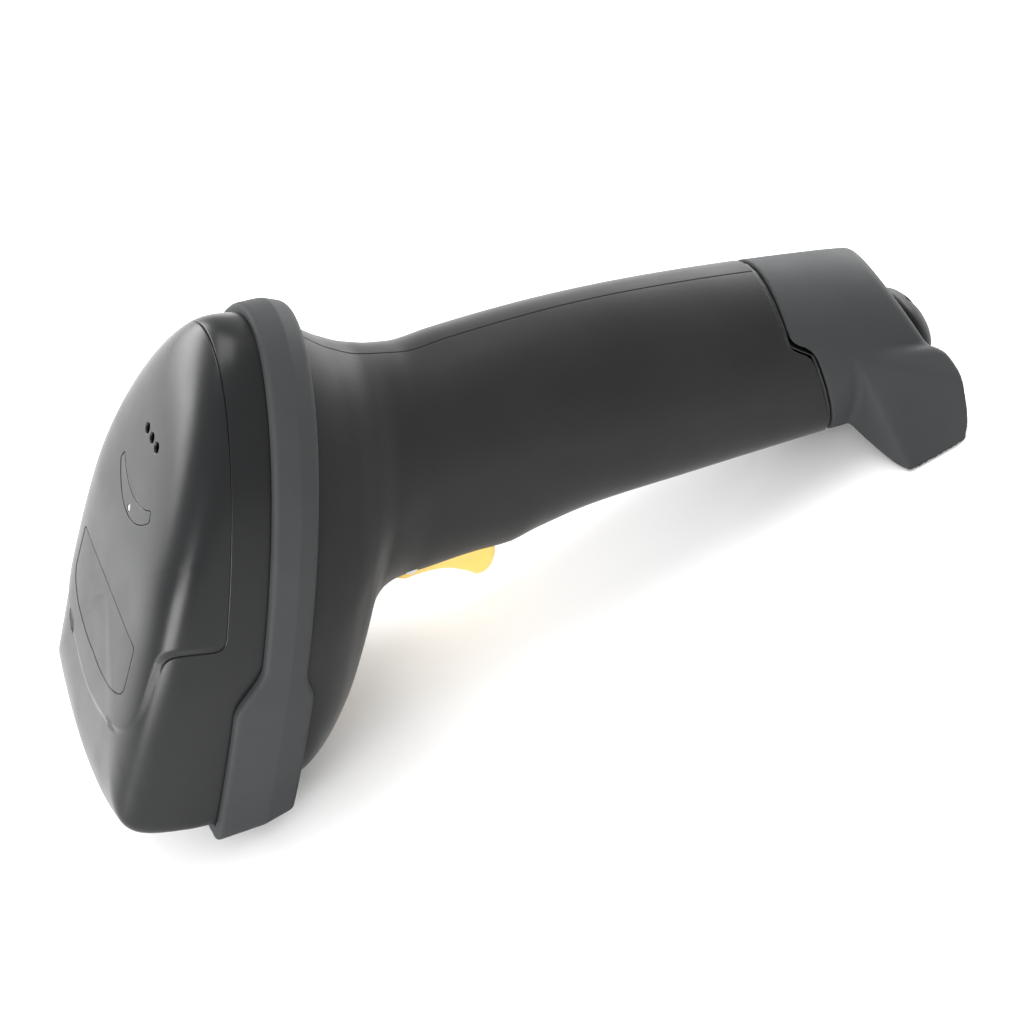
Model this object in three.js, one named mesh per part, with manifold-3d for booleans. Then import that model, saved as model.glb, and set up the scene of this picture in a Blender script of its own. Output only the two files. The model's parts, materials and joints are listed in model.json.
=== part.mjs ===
// Handheld barcode scanner: a cordless pistol-shaped 2D scanner, modelled in millimetres.
//
// The parts are laid out in a working frame: x runs down the handle from the ridge of the head's
// bumper, y is the scanner's right, and z runs back from the nose. The last group turns the whole
// scanner so that its chin and its two feet stand on the plane Z = 0.
import * as THREE from "three";
import { mergeVertices } from "three/addons/utils/BufferGeometryUtils.js";
import { ConvexGeometry } from "three/addons/geometries/ConvexGeometry.js";
import Module from "manifold-3d";

const wasm = await Module();
wasm.setup();

// ---------------------------------------------------------------- driving dimensions
const REST_TILT = THREE.MathUtils.degToRad(30.7); // how far the scanner leans when it lies down
const FLOOR = -6.54; // the lying plane's height along the tilted up axis
const CHIN_HEIGHT = 1.4; // the flat chin's height over the lying plane
const GAP = 0.3; // clearance between touching pieces
const WALL = 2.2; // housing wall
const FAR = 200; // longer than the scanner, for cutters
const WELD = 0.004; // slivers thinner than this are closed up

const HEAD = {
  rear: 97.2, middle: 30, halfWidth: 32, cornerY: 30.6, noseZ: -5, tipZ: -7.8, corner: 4,
};
const DOME = {
  base: 3, edge: 2.4, centre: 35, wall: 2.4, panelRise: 0.35, panelDepth: 1.2, floor: 1.5,
};
const BUMPER = { upper: 4.9, upperNose: 9.4, lower: 3.8, lowerNose: 5.8, thick: 3.5, lean: 0.4 };
const WINDOW = { halfWidth: 23, top: -7.2, bottom: 3.6, thick: 1.5, z: 1.6 };
const PANEL_EDGE = -12.4; // how far up the head's side walls the crown panel reaches down
const BADGE = { halfWidth: 19.3, top: 37, side: 26, bottom: 20.5 };
const BEEPER = { z: 71, pitch: 3.2, hole: 1, radius: 6, height: 5.6 };
const LED = { low: 54, high: 58.2, outerY: 10.5, outerZ: 59.3, innerY: 9.6, innerZ: 61.5, pipeZ: 55.8 };
const TRIGGER = { pivotX: 30.5, pivotZ: 42.6, halfWidth: 8.4, pin: 1.5, pinHalf: 11.4 };
const SLOT = { x0: 25.4, x1: 51.2, halfWidth: 9.2, depth: 50 };
const SWITCH = { x: 44.5, z: 48.2, size: 6, height: 3.4, plunger: 1.6 };
const HANDLE_BOARD = { x0: 33, x1: 64, z: 52, thick: 1.6, halfWidth: 7 };
const CELL = { x: 43, z: 66.4, radius: 9.1, length: 63, slope: 0.255 };
const CAP = {
  slope: 0.292, x: 98.8, z: 98.4, stepX: 101, stepZ: 91, sideX: 106.2, sideZ: 89.2, lean: 0.534,
};
const SEAL = { thick: 0.6, inset: 0.4, depth: 2 };
const END = { angle: THREE.MathUtils.degToRad(40.2), offset: 159.5 }; // the end face's normal
const LOCK = {
  along: 23.6, radius: 8.2, height: 4.2, shank: 3, reach: 10,
  camRadius: 5.2, camHalfWidth: 4.1, camThick: 1.4,
};
const CONTACTS = {
  x: 17.7, z: 10.4, angle: THREE.MathUtils.degToRad(-21), width: 22, length: 8, thick: 1.8,
};
const SCREWS = [[14, 76], [14, 26], [64, 88], [90, 62.5]]; // x and z of the housing screws

// ---------------------------------------------------------------- helpers
const { degToRad, lerp, smoothstep } = THREE.MathUtils;

// A monotone cubic through [x, y] stations.
function curve(stations) {
  const n = stations.length;
  const x = stations.map((s) => s[0]);
  const y = stations.map((s) => s[1]);
  const h = x.slice(1).map((v, i) => v - x[i]);
  const d = h.map((v, i) => (y[i + 1] - y[i]) / v);
  const m = x.map((_, i) => {
    if (i === 0) return d[0];
    if (i === n - 1) return d[n - 2];
    if (d[i - 1] * d[i] <= 0) return 0;
    const w1 = 2 * h[i] + h[i - 1];
    const w2 = h[i] + 2 * h[i - 1];
    return (w1 + w2) / (w1 / d[i - 1] + w2 / d[i]);
  });
  return (q) => {
    const v = Math.min(Math.max(q, x[0]), x[n - 1]);
    let i = 0;
    while (i < n - 2 && v > x[i + 1]) i++;
    const t = (v - x[i]) / h[i];
    const start = (1 + 2 * t) * (1 - t) ** 2 * y[i] + t * (1 - t) ** 2 * h[i] * m[i];
    return start + t * t * (3 - 2 * t) * y[i + 1] + t * t * (t - 1) * h[i] * m[i + 1];
  };
}

const bezier = (a, b, c, d, t) =>
  (1 - t) ** 3 * a + 3 * (1 - t) ** 2 * t * b + 3 * (1 - t) * t * t * c + t ** 3 * d;
const steps = (n, f) => Array.from({ length: n }, (_, i) => f(i / n));

// A half outline of [y, z] points, from back to front, closed by its mirror image.
const closed = (half) => [...half, ...half.slice(1, -1).reverse().map(([y, z]) => [-y, z])];

// A closed solid skinned over rings of points, with a fan over the first and the last ring.
function loft(rings) {
  const count = rings[0].length;
  const points = rings.flat();
  const faces = [];
  for (let i = 0; i < rings.length - 1; i++) {
    for (let j = 0; j < count; j++) {
      const a = i * count + j;
      const b = i * count + ((j + 1) % count);
      faces.push(a, b, a + count, b, b + count, a + count);
    }
  }
  const fan = (ring, first, flip) => {
    const middle = ring.reduce((sum, p) => sum.add(p), new THREE.Vector3()).divideScalar(count);
    points.push(middle);
    for (let j = 0; j < count; j++) {
      const a = first + j;
      const b = first + ((j + 1) % count);
      faces.push(points.length - 1, flip ? b : a, flip ? a : b);
    }
  };
  fan(rings[0], 0, true);
  fan(rings.at(-1), (rings.length - 1) * count, false);
  return new THREE.BufferGeometry().setFromPoints(points).setIndex(faces);
}

// A ring of rings: a closed band, such as the bumper.
function band(rings) {
  const count = rings[0].length;
  const faces = [];
  for (let i = 0; i < rings.length; i++) {
    for (let j = 0; j < count; j++) {
      const a = i * count + j;
      const b = i * count + ((j + 1) % count);
      const c = ((i + 1) % rings.length) * count + j;
      const d = ((i + 1) % rings.length) * count + ((j + 1) % count);
      faces.push(a, b, c, b, d, c);
    }
  }
  return new THREE.BufferGeometry().setFromPoints(rings.flat()).setIndex(faces);
}

function solid(geometry) {
  const plain = geometry.clone();
  plain.deleteAttribute("normal");
  plain.deleteAttribute("uv");
  const merged = mergeVertices(plain, 1e-4);
  const vertProperties = new Float32Array(merged.attributes.position.array);
  const shape = new wasm.Manifold(
    new wasm.Mesh({ numProp: 3, vertProperties, triVerts: new Uint32Array(merged.index.array) }),
  );
  if (shape.volume() > 0) return shape;
  const turned = merged.index.array.slice().reverse();
  const triVerts = new Uint32Array(turned);
  return new wasm.Manifold(new wasm.Mesh({ numProp: 3, vertProperties, triVerts }));
}

function geometryOf(shape) {
  const mesh = largest(shape.simplify(WELD)).getMesh();
  return new THREE.BufferGeometry()
    .setAttribute("position", new THREE.BufferAttribute(mesh.vertProperties, 3))
    .setIndex(new THREE.BufferAttribute(mesh.triVerts, 1));
}

const union = (shapes) => shapes.reduce((a, b) => a.add(b));

function outlineOf(points) {
  return new THREE.Shape(points.map(([a, b]) => new THREE.Vector2(a, b)));
}

function basis(geometry, across, up, out, origin) {
  const matrix = new THREE.Matrix4().makeBasis(across, up, out).setPosition(origin);
  return geometry.applyMatrix4(matrix);
}

const X = new THREE.Vector3(1, 0, 0);
const Y = new THREE.Vector3(0, 1, 0);
const Z = new THREE.Vector3(0, 0, 1);
const at = (x, y, z) => new THREE.Vector3(x, y, z);

// A side view outline of [x, z] points, extruded from y0 to y1.
function slab(points, y0, y1, options = {}) {
  const depth = y1 - y0;
  const shape = points instanceof THREE.Shape ? points : outlineOf(points);
  const plain = { depth, bevelEnabled: false, curveSegments: 6 };
  const body = new THREE.ExtrudeGeometry(shape, { ...plain, ...options });
  return solid(basis(body, X, Z, Y.clone().negate(), at(0, y1, 0)));
}

// A plan view outline of [y, z] points, extruded from x0 to x1.
function plate(points, x0, x1) {
  const shape = points instanceof THREE.Shape ? points : outlineOf(points);
  const body = new THREE.ExtrudeGeometry(shape, { depth: x1 - x0, bevelEnabled: false, curveSegments: 6 });
  return solid(basis(body, Y, Z, X, at(x0, 0, 0)));
}

function block(x0, x1, y0, y1, z0, z1) {
  const box = new THREE.BoxGeometry(x1 - x0, y1 - y0, z1 - z0);
  return solid(box.translate((x0 + x1) / 2, (y0 + y1) / 2, (z0 + z1) / 2));
}

// A cylinder between two points.
function rod(from, to, radius, sides = 16) {
  const axis = to.clone().sub(from);
  const body = new THREE.CylinderGeometry(radius, radius, axis.length(), sides);
  const turn = new THREE.Quaternion().setFromUnitVectors(Y, axis.clone().normalize());
  return solid(body.applyQuaternion(turn).translate(...from.clone().add(to).divideScalar(2)));
}

// A solid of revolution about an axis through a point; the profile holds [radius, height] pairs.
function turned(profile, axis, origin, sides = 24) {
  const body = new THREE.LatheGeometry(profile.map(([r, h]) => new THREE.Vector2(r, h)), sides);
  const turn = new THREE.Quaternion().setFromUnitVectors(Y, axis);
  return solid(body.applyQuaternion(turn).translate(...origin));
}

// ---------------------------------------------------------------- the housing's skin
const BACK = curve([[0, 93.6], [4, 92], [11.4, 88.2], [17.5, 86.5], [25.6, 86.3], [35, 88.9], [45, 91.6],
  [57, 94.4], [69.5, 96.6], [86.5, 98.7], [100, 99.9], [112, 100.7], [123, 101.2], [150, 101]]);
const FRONT = curve([[0, -4.8], [4, -3.6], [8, -2.2], [13, 1], [17, 4.6], [18.9, 10.5], [19.5, 20],
  [21, 28.6], [24.4, 33.6], [34, 36.2], [44, 39], [51, 40.4], [57, 43.8], [68, 49], [89, 55.2],
  [116, 62.4], [150, 71]]);
const WIDTH = curve([[0, 30.8], [4, 30.5], [8, 29.8], [12.4, 27.8], [16.6, 24.4], [22.2, 19.6], [32, 17.8],
  [60, 17.8], [80, 18], [100, 17.8], [120, 17.4], [150, 16.6]]);
const WAIST = curve([[0, 30], [4, 32], [10, 40], [18, 54], [25, 63], [35, 68], [60, 74], [90, 79],
  [120, 84], [150, 87]]);
const BACK_ROUND = curve([[0, 0.55], [10, 0.5], [25, 0.47], [150, 0.47]]);
const FRONT_ROUND = curve([[0, 0.9], [10, 0.9], [17, 0.84], [21, 0.68], [30, 0.62], [60, 0.6],
  [150, 0.6]]);
const FRONT_DEPTH = curve([[0, 0.85], [10, 0.82], [20, 0.7], [30, 0.55], [150, 0.55]]);

// The housing's section at x, as a closed [y, z] outline.
function section(x, inset, count = 6) {
  const back = BACK(x) - inset;
  const front = FRONT(x) + inset;
  const half = WIDTH(x) - inset;
  const waist = WAIST(x);
  const rear = steps(count, (t) => [
    bezier(0, BACK_ROUND(x) * half, half, half, t),
    bezier(back, back, lerp(waist, back, 0.55), waist, t),
  ]);
  const fore = steps(count, (t) => [
    bezier(half, half, FRONT_ROUND(x) * half, 0, t),
    bezier(waist, lerp(waist, front, FRONT_DEPTH(x)), front, front, t),
  ]);
  return closed([...rear, ...fore, [0, front]]);
}

const HEAD_STATIONS = [0.15, 4, 8, 12, 15, 17, 19, 21, 24, 28];
const HANDLE_STATIONS = [36, 46, 52, 60, 74, 90, 106, 122, 150];

function housingSkin(inset) {
  const stations = [...HEAD_STATIONS, ...HANDLE_STATIONS];
  return solid(loft(stations.map((x) => {
    const deep = inset > 0 ? inset + 2 * (1 - smoothstep(x, 5, 9)) : 0;
    return section(x, deep).map(([y, z]) => at(x, y, z));
  })));
}

// The side view region behind the line where the end cap meets the handle.
function capRegion(shift, reach = FAR) {
  const top = 110;
  const low = 50;
  return slab([
    [CAP.x - CAP.slope * (top - CAP.z) + shift, top],
    [CAP.stepX + shift, CAP.stepZ],
    [CAP.sideX + shift, CAP.sideZ],
    [CAP.sideX + CAP.lean * (CAP.sideZ - low) + shift, low],
    [reach, low],
    [reach, top],
  ], -FAR, FAR);
}

// Everything below the lying plane, raised by a height.
function belowFloor(height) {
  const up = [-Math.sin(REST_TILT), Math.cos(REST_TILT)];
  const along = [Math.cos(REST_TILT), Math.sin(REST_TILT)];
  const point = (s, h) => [up[0] * h + along[0] * s, up[1] * h + along[1] * s];
  const level = FLOOR + height;
  const corners = [point(-FAR, level - FAR), point(FAR, level - FAR), point(FAR, level), point(-FAR, level)];
  return slab(corners, -FAR, FAR);
}

// ---------------------------------------------------------------- the head's outline
// The bumper's ridge as a half outline of [y, z] points, from the rear to the nose.
function headOutline() {
  const rear = steps(11, (t) => [
    HEAD.halfWidth * Math.sin((t * Math.PI) / 2),
    HEAD.middle + (HEAD.rear - HEAD.middle) * Math.cos((t * Math.PI) / 2),
  ]);
  const cornerZ = HEAD.noseZ + HEAD.corner;
  const side = steps(3, (t) => [
    HEAD.halfWidth - (HEAD.halfWidth - HEAD.cornerY) * t * t,
    lerp(HEAD.middle, cornerZ, t),
  ]);
  const cornerY = HEAD.cornerY - HEAD.corner;
  const corner = steps(3, (t) => [
    cornerY + HEAD.corner * Math.cos((t * Math.PI) / 2),
    cornerZ - HEAD.corner * Math.sin((t * Math.PI) / 2),
  ]);
  const front = steps(4, (t) => [cornerY * (1 - t), lerp(HEAD.tipZ, HEAD.noseZ, (1 - t) ** 2)]);
  return [...rear, ...side, ...corner, ...front, [0, HEAD.tipZ]];
}

// The half outline moved inward.
function insetOutline(half, inset) {
  return half.map(([y, z], i) => {
    if (i === 0) return [0, z - inset];
    if (i === half.length - 1) return [0, z + inset];
    const before = half[i - 1];
    const after = half[i + 1];
    const along = new THREE.Vector2(after[0] - before[0], after[1] - before[1]).normalize();
    return [Math.max(y + along.y * inset, 0), z - along.x * inset];
  });
}

// How far a point of the head belongs to the nose, from 0 to 1.
const noseShare = (z) => 1 - smoothstep(z, -4, 8);

// ---------------------------------------------------------------- the dome
const DOME_TOP = curve([[-12, 30.4], [-4, 30.6], [10, 29.6], [20, 28.6], [30, 27.4], [40, 26.1], [50, 24.8],
  [60, 23], [70, 21], [78, 19.4], [86, 17.6], [95, 15]]);

function domeSkin(inset) {
  const base = closed(insetOutline(headOutline(), DOME.edge + inset));
  const rings = [0, 0.2, 0.4, 0.58, 0.7, 0.8, 0.88, 0.95, 1];
  return solid(loft(rings.map((k) => base.map(([by, bz]) => {
    const nose = 1 - smoothstep(bz, -5, 10);
    const rear = smoothstep(bz, 55, 90);
    const power = 7 + 1.2 * nose - 1.2 * rear;
    const angle = (Math.max(k, 0.04) * Math.PI) / 2;
    const reach = Math.sin(angle) ** (2 / power);
    const rise = k === 1 ? 0 : Math.cos(angle) ** (2 / power);
    const y = by * reach;
    const z = lerp(DOME.centre, bz, reach);
    const x = k === 1 ? -0.2 : -(DOME.base + (DOME_TOP(z) - inset - DOME.base) * rise);
    const bow = 0.08 + 0.28 * (1 - (y / HEAD.cornerY) ** 2);
    return at(x, y, z - nose * reach * bow * Math.min(-x, 14));
  }))));
}

// Half of the crown panel's plan, as [y, z] points from the rear to the nose: it runs out over the
// side walls behind, and ends in front in a shallow bow with rounded corners.
const CROWN_HALF = [[0, 110], [40, 110], [40, 44.5], [29.5, 42.5], [27, 38.5], [26.6, 30], [25.7, 24],
  [23.5, 19.8], [20, 16.8], [15, 14.2], [8, 11.9], [0, 11]];
const crownPlan = (grow) => closed(insetOutline(CROWN_HALF, -grow));

// The LED's window: a curved band of even width with blunt horns towards the rear.
function crescent(grow) {
  const low = LED.low - grow;
  const high = LED.high + grow;
  const outer = LED.outerY + grow;
  const inner = LED.innerY + grow;
  const horn = LED.innerZ + grow;
  const shape = new THREE.Shape();
  shape.moveTo(-outer, LED.outerZ);
  shape.quadraticCurveTo(-outer / 2, low, 0, low);
  shape.quadraticCurveTo(outer / 2, low, outer, LED.outerZ);
  shape.lineTo(inner, horn);
  shape.quadraticCurveTo(inner / 2, high, 0, high);
  shape.quadraticCurveTo(-inner / 2, high, -inner, horn);
  return shape;
}

// The badge's outline: a straight top edge, short sides and a bowed lower edge.
function badgeShape(grow) {
  const half = BADGE.halfWidth + grow;
  const shape = new THREE.Shape();
  shape.moveTo(-half, BADGE.top + grow);
  shape.lineTo(-half, BADGE.side);
  shape.quadraticCurveTo(0, 2 * BADGE.bottom - BADGE.side - 2 * grow, half, BADGE.side);
  shape.lineTo(half, BADGE.top + grow);
  return shape;
}

const skinAbove = (depth) => block(-FAR, 0, -FAR, FAR, -FAR, FAR).subtract(domeSkin(depth));

function beeperHoles() {
  return union([-1, 0, 1].map((i) => {
    const y = i * BEEPER.pitch;
    return rod(at(-40, y, BEEPER.z), at(-BEEPER.height, y, BEEPER.z), BEEPER.hole, 10);
  }));
}

function crownPanel() {
  return domeSkin(-DOME.panelRise)
    .subtract(domeSkin(DOME.panelDepth))
    .intersect(plate(crownPlan(0), -60, PANEL_EDGE))
    .subtract(plate(crescent(0), -60, 0))
    .subtract(plate(badgeShape(GAP), -60, 0).intersect(skinAbove(0.6)))
    .subtract(beeperHoles());
}

function badgePlate() {
  return plate(badgeShape(0), -60, 0).intersect(domeSkin(-DOME.panelRise)).subtract(domeSkin(0.3));
}

function ledLens() {
  return plate(crescent(-GAP), -60, 0)
    .intersect(domeSkin(-DOME.panelRise))
    .subtract(domeSkin(DOME.panelDepth));
}

function topCover() {
  const recess = plate(crownPlan(GAP), -60, PANEL_EDGE + GAP).intersect(skinAbove(DOME.floor));
  const lightHole = rod(at(-40, 0, LED.pipeZ), at(-10, 0, LED.pipeZ), 2.4, 12);
  return domeSkin(0)
    .subtract(domeSkin(DOME.wall))
    .subtract(block(-3.2, 1, -FAR, FAR, -FAR, FAR).intersect(domeSkin(DOME.wall)))
    .subtract(recess)
    .subtract(beeperHoles())
    .subtract(lightHole)
    .subtract(bumperRoom())
    .subtract(windowWell());
}

// ---------------------------------------------------------------- the bumper
function bumperBand(profile, grow) {
  const half = headOutline();
  return solid(band(profile.map(([level, inset]) => {
    const ring = closed(insetOutline(half, inset));
    return ring.map(([y, z], i) => {
      const z0 = half[Math.min(i, ring.length - i)][1];
      const upper = lerp(BUMPER.upper, BUMPER.upperNose, 1 - smoothstep(z0, 26, 38)) + grow;
      const lower = lerp(BUMPER.lower, BUMPER.lowerNose, 1 - smoothstep(z0, 29, 36)) + grow;
      const x = level < 0 ? level * upper : level * lower;
      return at(x, y, z + noseShare(z0) * x * BUMPER.lean);
    });
  })));
}

function bumper() {
  const inner = BUMPER.thick;
  const profile = [[-1, inner], [-1, 1.3], [-0.8, 0.6], [0, 0], [0.7, 0.5], [1, 1.2], [1, inner]];
  const mouth = block(WINDOW.top, WINDOW.bottom, -WINDOW.halfWidth, WINDOW.halfWidth, -30, 10);
  return bumperBand(profile, 0).subtract(mouth).subtract(belowFloor(0));
}

const bumperRoom = () => {
  const inner = BUMPER.thick + GAP;
  return bumperBand([[-1, inner], [-1, -4], [1, -4], [1, inner]], GAP);
};

// ---------------------------------------------------------------- the scan window
// A frame piece in the window's leaning plane; u is across, v is up the window.
function windowSheet(halfWidth, margin, z0, z1) {
  const top = WINDOW.top - margin;
  const bottom = WINDOW.bottom + margin;
  const lean = BUMPER.lean;
  const side = [[top, z0 + lean * top], [bottom, z0 + lean * bottom], [bottom, z1 + lean * bottom],
    [top, z1 + lean * top]];
  return slab(side, -halfWidth, halfWidth);
}

const windowWell = () => windowSheet(WINDOW.halfWidth + 4.4, 1.6, -30, 7);

function windowBezel() {
  const frame = windowSheet(WINDOW.halfWidth + 3.8, 1.2, WINDOW.z - 1.4, WINDOW.z);
  return frame.subtract(windowSheet(WINDOW.halfWidth - 1, -0.9, -30, 30));
}

function scanWindow() {
  const front = WINDOW.z + GAP;
  return windowSheet(WINDOW.halfWidth + 2.6, 1, front, front + WINDOW.thick);
}

// ---------------------------------------------------------------- the two housing halves
const screwRod = (x, z, y0, y1, radius) => rod(at(x, y0, z), at(x, y1, z), radius, 12);

function housing(side) {
  const outer = housingSkin(0);
  const inner = housingSkin(WALL);
  const bosses = union(SCREWS.map(([x, z]) => screwRod(x, z, -FAR, FAR, 4)))
    .intersect(housingSkin(WALL / 2));
  const handleEnd = capRegion(-GAP);
  const cavity = union([inner, block(-1, 1.5, -28, 28, 5, 86)]);
  let shell = outer
    .subtract(cavity)
    .add(bosses.subtract(block(0, FAR, -GAP, GAP, -FAR, FAR)))
    .add(pinBosses())
    .subtract(union(SCREWS.map(([x, z]) => screwRod(x, z, -8.6, FAR, 1.9))))
    .subtract(union(SCREWS.map(([x, z]) => screwRod(x, z, 8.6, FAR, 3.2))))
    .subtract(handleEnd)
    .subtract(belowFloor(CHIN_HEIGHT))
    .subtract(triggerSlot())
    .subtract(pinRod(TRIGGER.pinHalf + GAP, TRIGGER.pin + GAP))
    .subtract(contactRoom())
    .subtract(bumperRoom())
    .subtract(windowWell());
  const [y0, y1] = side < 0 ? [-FAR, -GAP / 2] : [GAP / 2, FAR];
  shell = shell.intersect(block(-5, FAR, y0, y1, -FAR, FAR));
  return largest(shell);
}

// The biggest of a solid's separate bodies.
function largest(shape) {
  return shape.decompose().reduce((a, b) => (a.volume() > b.volume() ? a : b));
}

function pinBosses() {
  const { pivotX: x, pivotZ: z } = TRIGGER;
  const room = housingSkin(0.5);
  const cheek = (s) => rod(at(x, s * (SLOT.halfWidth + 0.1), z), at(x, s * 16.5, z), 3.4, 12);
  return union([cheek(1), cheek(-1)]).intersect(room);
}

const pinRod = (half, radius) =>
  rod(at(TRIGGER.pivotX, -half, TRIGGER.pivotZ), at(TRIGGER.pivotX, half, TRIGGER.pivotZ), radius, 16);

function triggerSlot() {
  return block(SLOT.x0, SLOT.x1, -SLOT.halfWidth, SLOT.halfWidth, 20, SLOT.depth)
    .intersect(housingSkin(-3));
}

// A pan head screw that pulls the two halves together, with a round driver recess.
function housingScrew([x, z]) {
  const profile = [[0, -17], [1.5, -17], [1.5, 0], [2.8, 0], [2.8, 1.4], [1.9, 2.3], [1, 2.3],
    [1, 1.2], [0, 1.2]];
  return turned(profile, Y, at(x, 9.1, z), 10);
}

// ---------------------------------------------------------------- the trigger
function trigger() {
  const shape = new THREE.Shape();
  shape.moveTo(26.4, 39.6);
  shape.quadraticCurveTo(27.8, 37, 31.5, 36.6);
  shape.quadraticCurveTo(36, 38.6, 40.5, 38.2);
  shape.quadraticCurveTo(44.4, 37.4, 46.6, 35.9);
  shape.quadraticCurveTo(50.6, 36, 50.4, 41.4);
  shape.lineTo(49.6, 45.2);
  shape.lineTo(33.4, 46);
  shape.absarc(TRIGGER.pivotX, TRIGGER.pivotZ, 3.6, degToRad(50), degToRad(190), false);
  const half = TRIGGER.halfWidth;
  const options = {
    depth: 2 * half - 2, bevelEnabled: true, bevelSize: 1, bevelThickness: 1, bevelSegments: 2,
    bevelOffset: -1,
  };
  const pocket = block(34.5, 42, -half + 2, half - 2, 41, 60);
  const springRoom = block(20, 33.9, -3, 3, 39.4, 60);
  return slab(shape, 1 - half, half - 1, options)
    .subtract(pinRod(20, TRIGGER.pin + GAP))
    .subtract(pocket)
    .subtract(springRoom);
}

const triggerPin = () => pinRod(TRIGGER.pinHalf, TRIGGER.pin);

class Coil extends THREE.Curve {
  // A torsion spring's wire: turns around the trigger pin, then a straight leg back and up.
  getPoint(t) {
    const turns = 3;
    const legs = 0.18;
    const { pivotX, pivotZ } = TRIGGER;
    const radius = 2.35;
    if (t < legs) return at(pivotX + radius, -1.9, pivotZ + 5 * (1 - t / legs));
    const k = (t - legs) / (1 - legs);
    const angle = k * turns * 2 * Math.PI;
    return at(pivotX + radius * Math.cos(angle), lerp(-1.9, 1.9, k), pivotZ - radius * Math.sin(angle));
  }
}

function triggerSpring() {
  const wire = new THREE.Shape().absarc(0, 0, 0.3, 0, 2 * Math.PI);
  return solid(new THREE.ExtrudeGeometry(wire, { steps: 44, extrudePath: new Coil(), curveSegments: 3 }));
}

// ---------------------------------------------------------------- the switch and its board
function switchBody() {
  const { x, z, height, plunger } = SWITCH;
  const half = SWITCH.size / 2;
  const hole = rod(at(x, 0, 40), at(x, 0, z + height - 0.4), plunger + GAP, 16);
  return block(x - half, x + half, -half, half, z, z + height).subtract(hole);
}

function switchPlunger() {
  const low = SWITCH.z - 2.4;
  return rod(at(SWITCH.x, 0, low), at(SWITCH.x, 0, low + 3.2), SWITCH.plunger, 16);
}

function handleBoard() {
  const { x0, x1, z, thick, halfWidth } = HANDLE_BOARD;
  return block(x0, x1, -halfWidth, halfWidth, z, z + thick);
}

// A flat ribbon cable from the main board to the handle board.
function ribbonCable() {
  const ends = [[-6.6, 44], [6, 44], [14, 53.2], [32.6, 53]].map(([x, z]) => new THREE.Vector2(x, z));
  const points = new THREE.CubicBezierCurve(...ends).getPoints(10);
  const thick = 0.4;
  const outline = [...points.map((p) => [p.x, p.y]), ...points.reverse().map((p) => [p.x, p.y - thick])];
  return slab(outline, -4, 4);
}

// ---------------------------------------------------------------- the head's electronics
function mainBoard() {
  const points = [[-20, 24], [-14, 18], [14, 18], [20, 24], [20, 62], [11, 78], [-11, 78], [-20, 62]];
  const places = [[-16.5, 58], [16.5, 46], [-16.5, 30]];
  const holes = union(places.map(([y, z]) => rod(at(-20, y, z), at(0, y, z), 1.6, 10)));
  return plate(points, -8, -6.9).subtract(holes);
}

const processorChip = () => block(-10, -8.3, 3, 13, 21, 31);
const memoryChip = () => block(-9.4, -8.3, -14, -6, 20, 26);
const powerChip = () => block(-9.6, -8.3, 12, 18, 54, 62);

const radioShield = () => block(-11, -8.3, -8, 8, 34, 49).subtract(block(-10.4, -7, -7.4, 7.4, 34.6, 48.4));

function beeper() {
  const { z, radius, height } = BEEPER;
  const can = rod(at(-8.3 - height, 0, z), at(-8.3, 0, z), radius, 20);
  return can.subtract(rod(at(-20, 0, z), at(-9.5 - height / 2, 0, z), 1.2, 10));
}

function lightPipe() {
  const z = LED.pipeZ;
  return rod(at(-DOME_TOP(z) + DOME.panelDepth + 0.6, 0, z), at(-8.4, 0, z), 1.9, 12);
}

const ENGINE = { x0: -6.4, x1: 7, halfWidth: 12, z0: 10.5, z1: 26 };

function scanEngine() {
  const { x0, x1, halfWidth, z0, z1 } = ENGINE;
  const body = block(x0, x1, -halfWidth, halfWidth, z0, z1);
  const wells = [[3.5, 4.6], [-6, 2.6]].map(([y, r]) => rod(at(0.2, y, z0 - 1), at(0.2, y, z0 + 4), r, 16));
  return body.subtract(union(wells));
}

function lensBarrel() {
  const profile = [[0, 0], [4.2, 0], [4.2, -5], [2.6, -5], [2.2, -3.8], [0, -3.4]];
  return turned(profile, Z, at(0.2, 3.5, ENGINE.z0 + 3.7), 20);
}

const aimerLens = () => rod(at(0.2, -6, ENGINE.z0 - 1.6), at(0.2, -6, ENGINE.z0 + 3.7), 2.2, 16);

function illuminationLed(side) {
  const y = side * 10.4;
  return block(-1.4, 1.8, y - 1.2, y + 1.2, ENGINE.z0 - 1.6, ENGINE.z0 - GAP);
}

function engineBracket() {
  const x = ENGINE.x1 + GAP;
  const base = block(x, x + 1.2, -16, 16, 11, 27);
  const wing = (s) => block(x - 8, x + 1.2, s * 14 - 0.7, s * 14 + 0.7, 12, 25);
  const holes = union([-1, 1].map((s) => rod(at(x - 1, s * 8, 22), at(x + 3, s * 8, 22), 1.3, 10)));
  return union([base, wing(1), wing(-1)]).subtract(holes);
}

// ---------------------------------------------------------------- the charging contacts
const contactAxis = at(Math.cos(CONTACTS.angle), 0, Math.sin(CONTACTS.angle));
const contactUp = at(-Math.sin(CONTACTS.angle), 0, Math.cos(CONTACTS.angle));

function contactBox(width, length, from, to, y = 0) {
  const box = new THREE.BoxGeometry(to - from, width, length).translate((from + to) / 2, y, 0);
  return solid(basis(box, contactAxis, Y, contactUp, at(CONTACTS.x, 0, CONTACTS.z)));
}

function contactRoom() {
  const { width, length, thick } = CONTACTS;
  return contactBox(width + 2 * GAP, length + 2 * GAP, -thick - 1.4, 9);
}

function contactStrip() {
  const body = contactBox(CONTACTS.width, CONTACTS.length, -CONTACTS.thick - 1, -0.6);
  return body.subtract(union(padPlaces().map((y) => contactBox(2.4, 5.4, -1.4, 4, y))));
}

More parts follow.
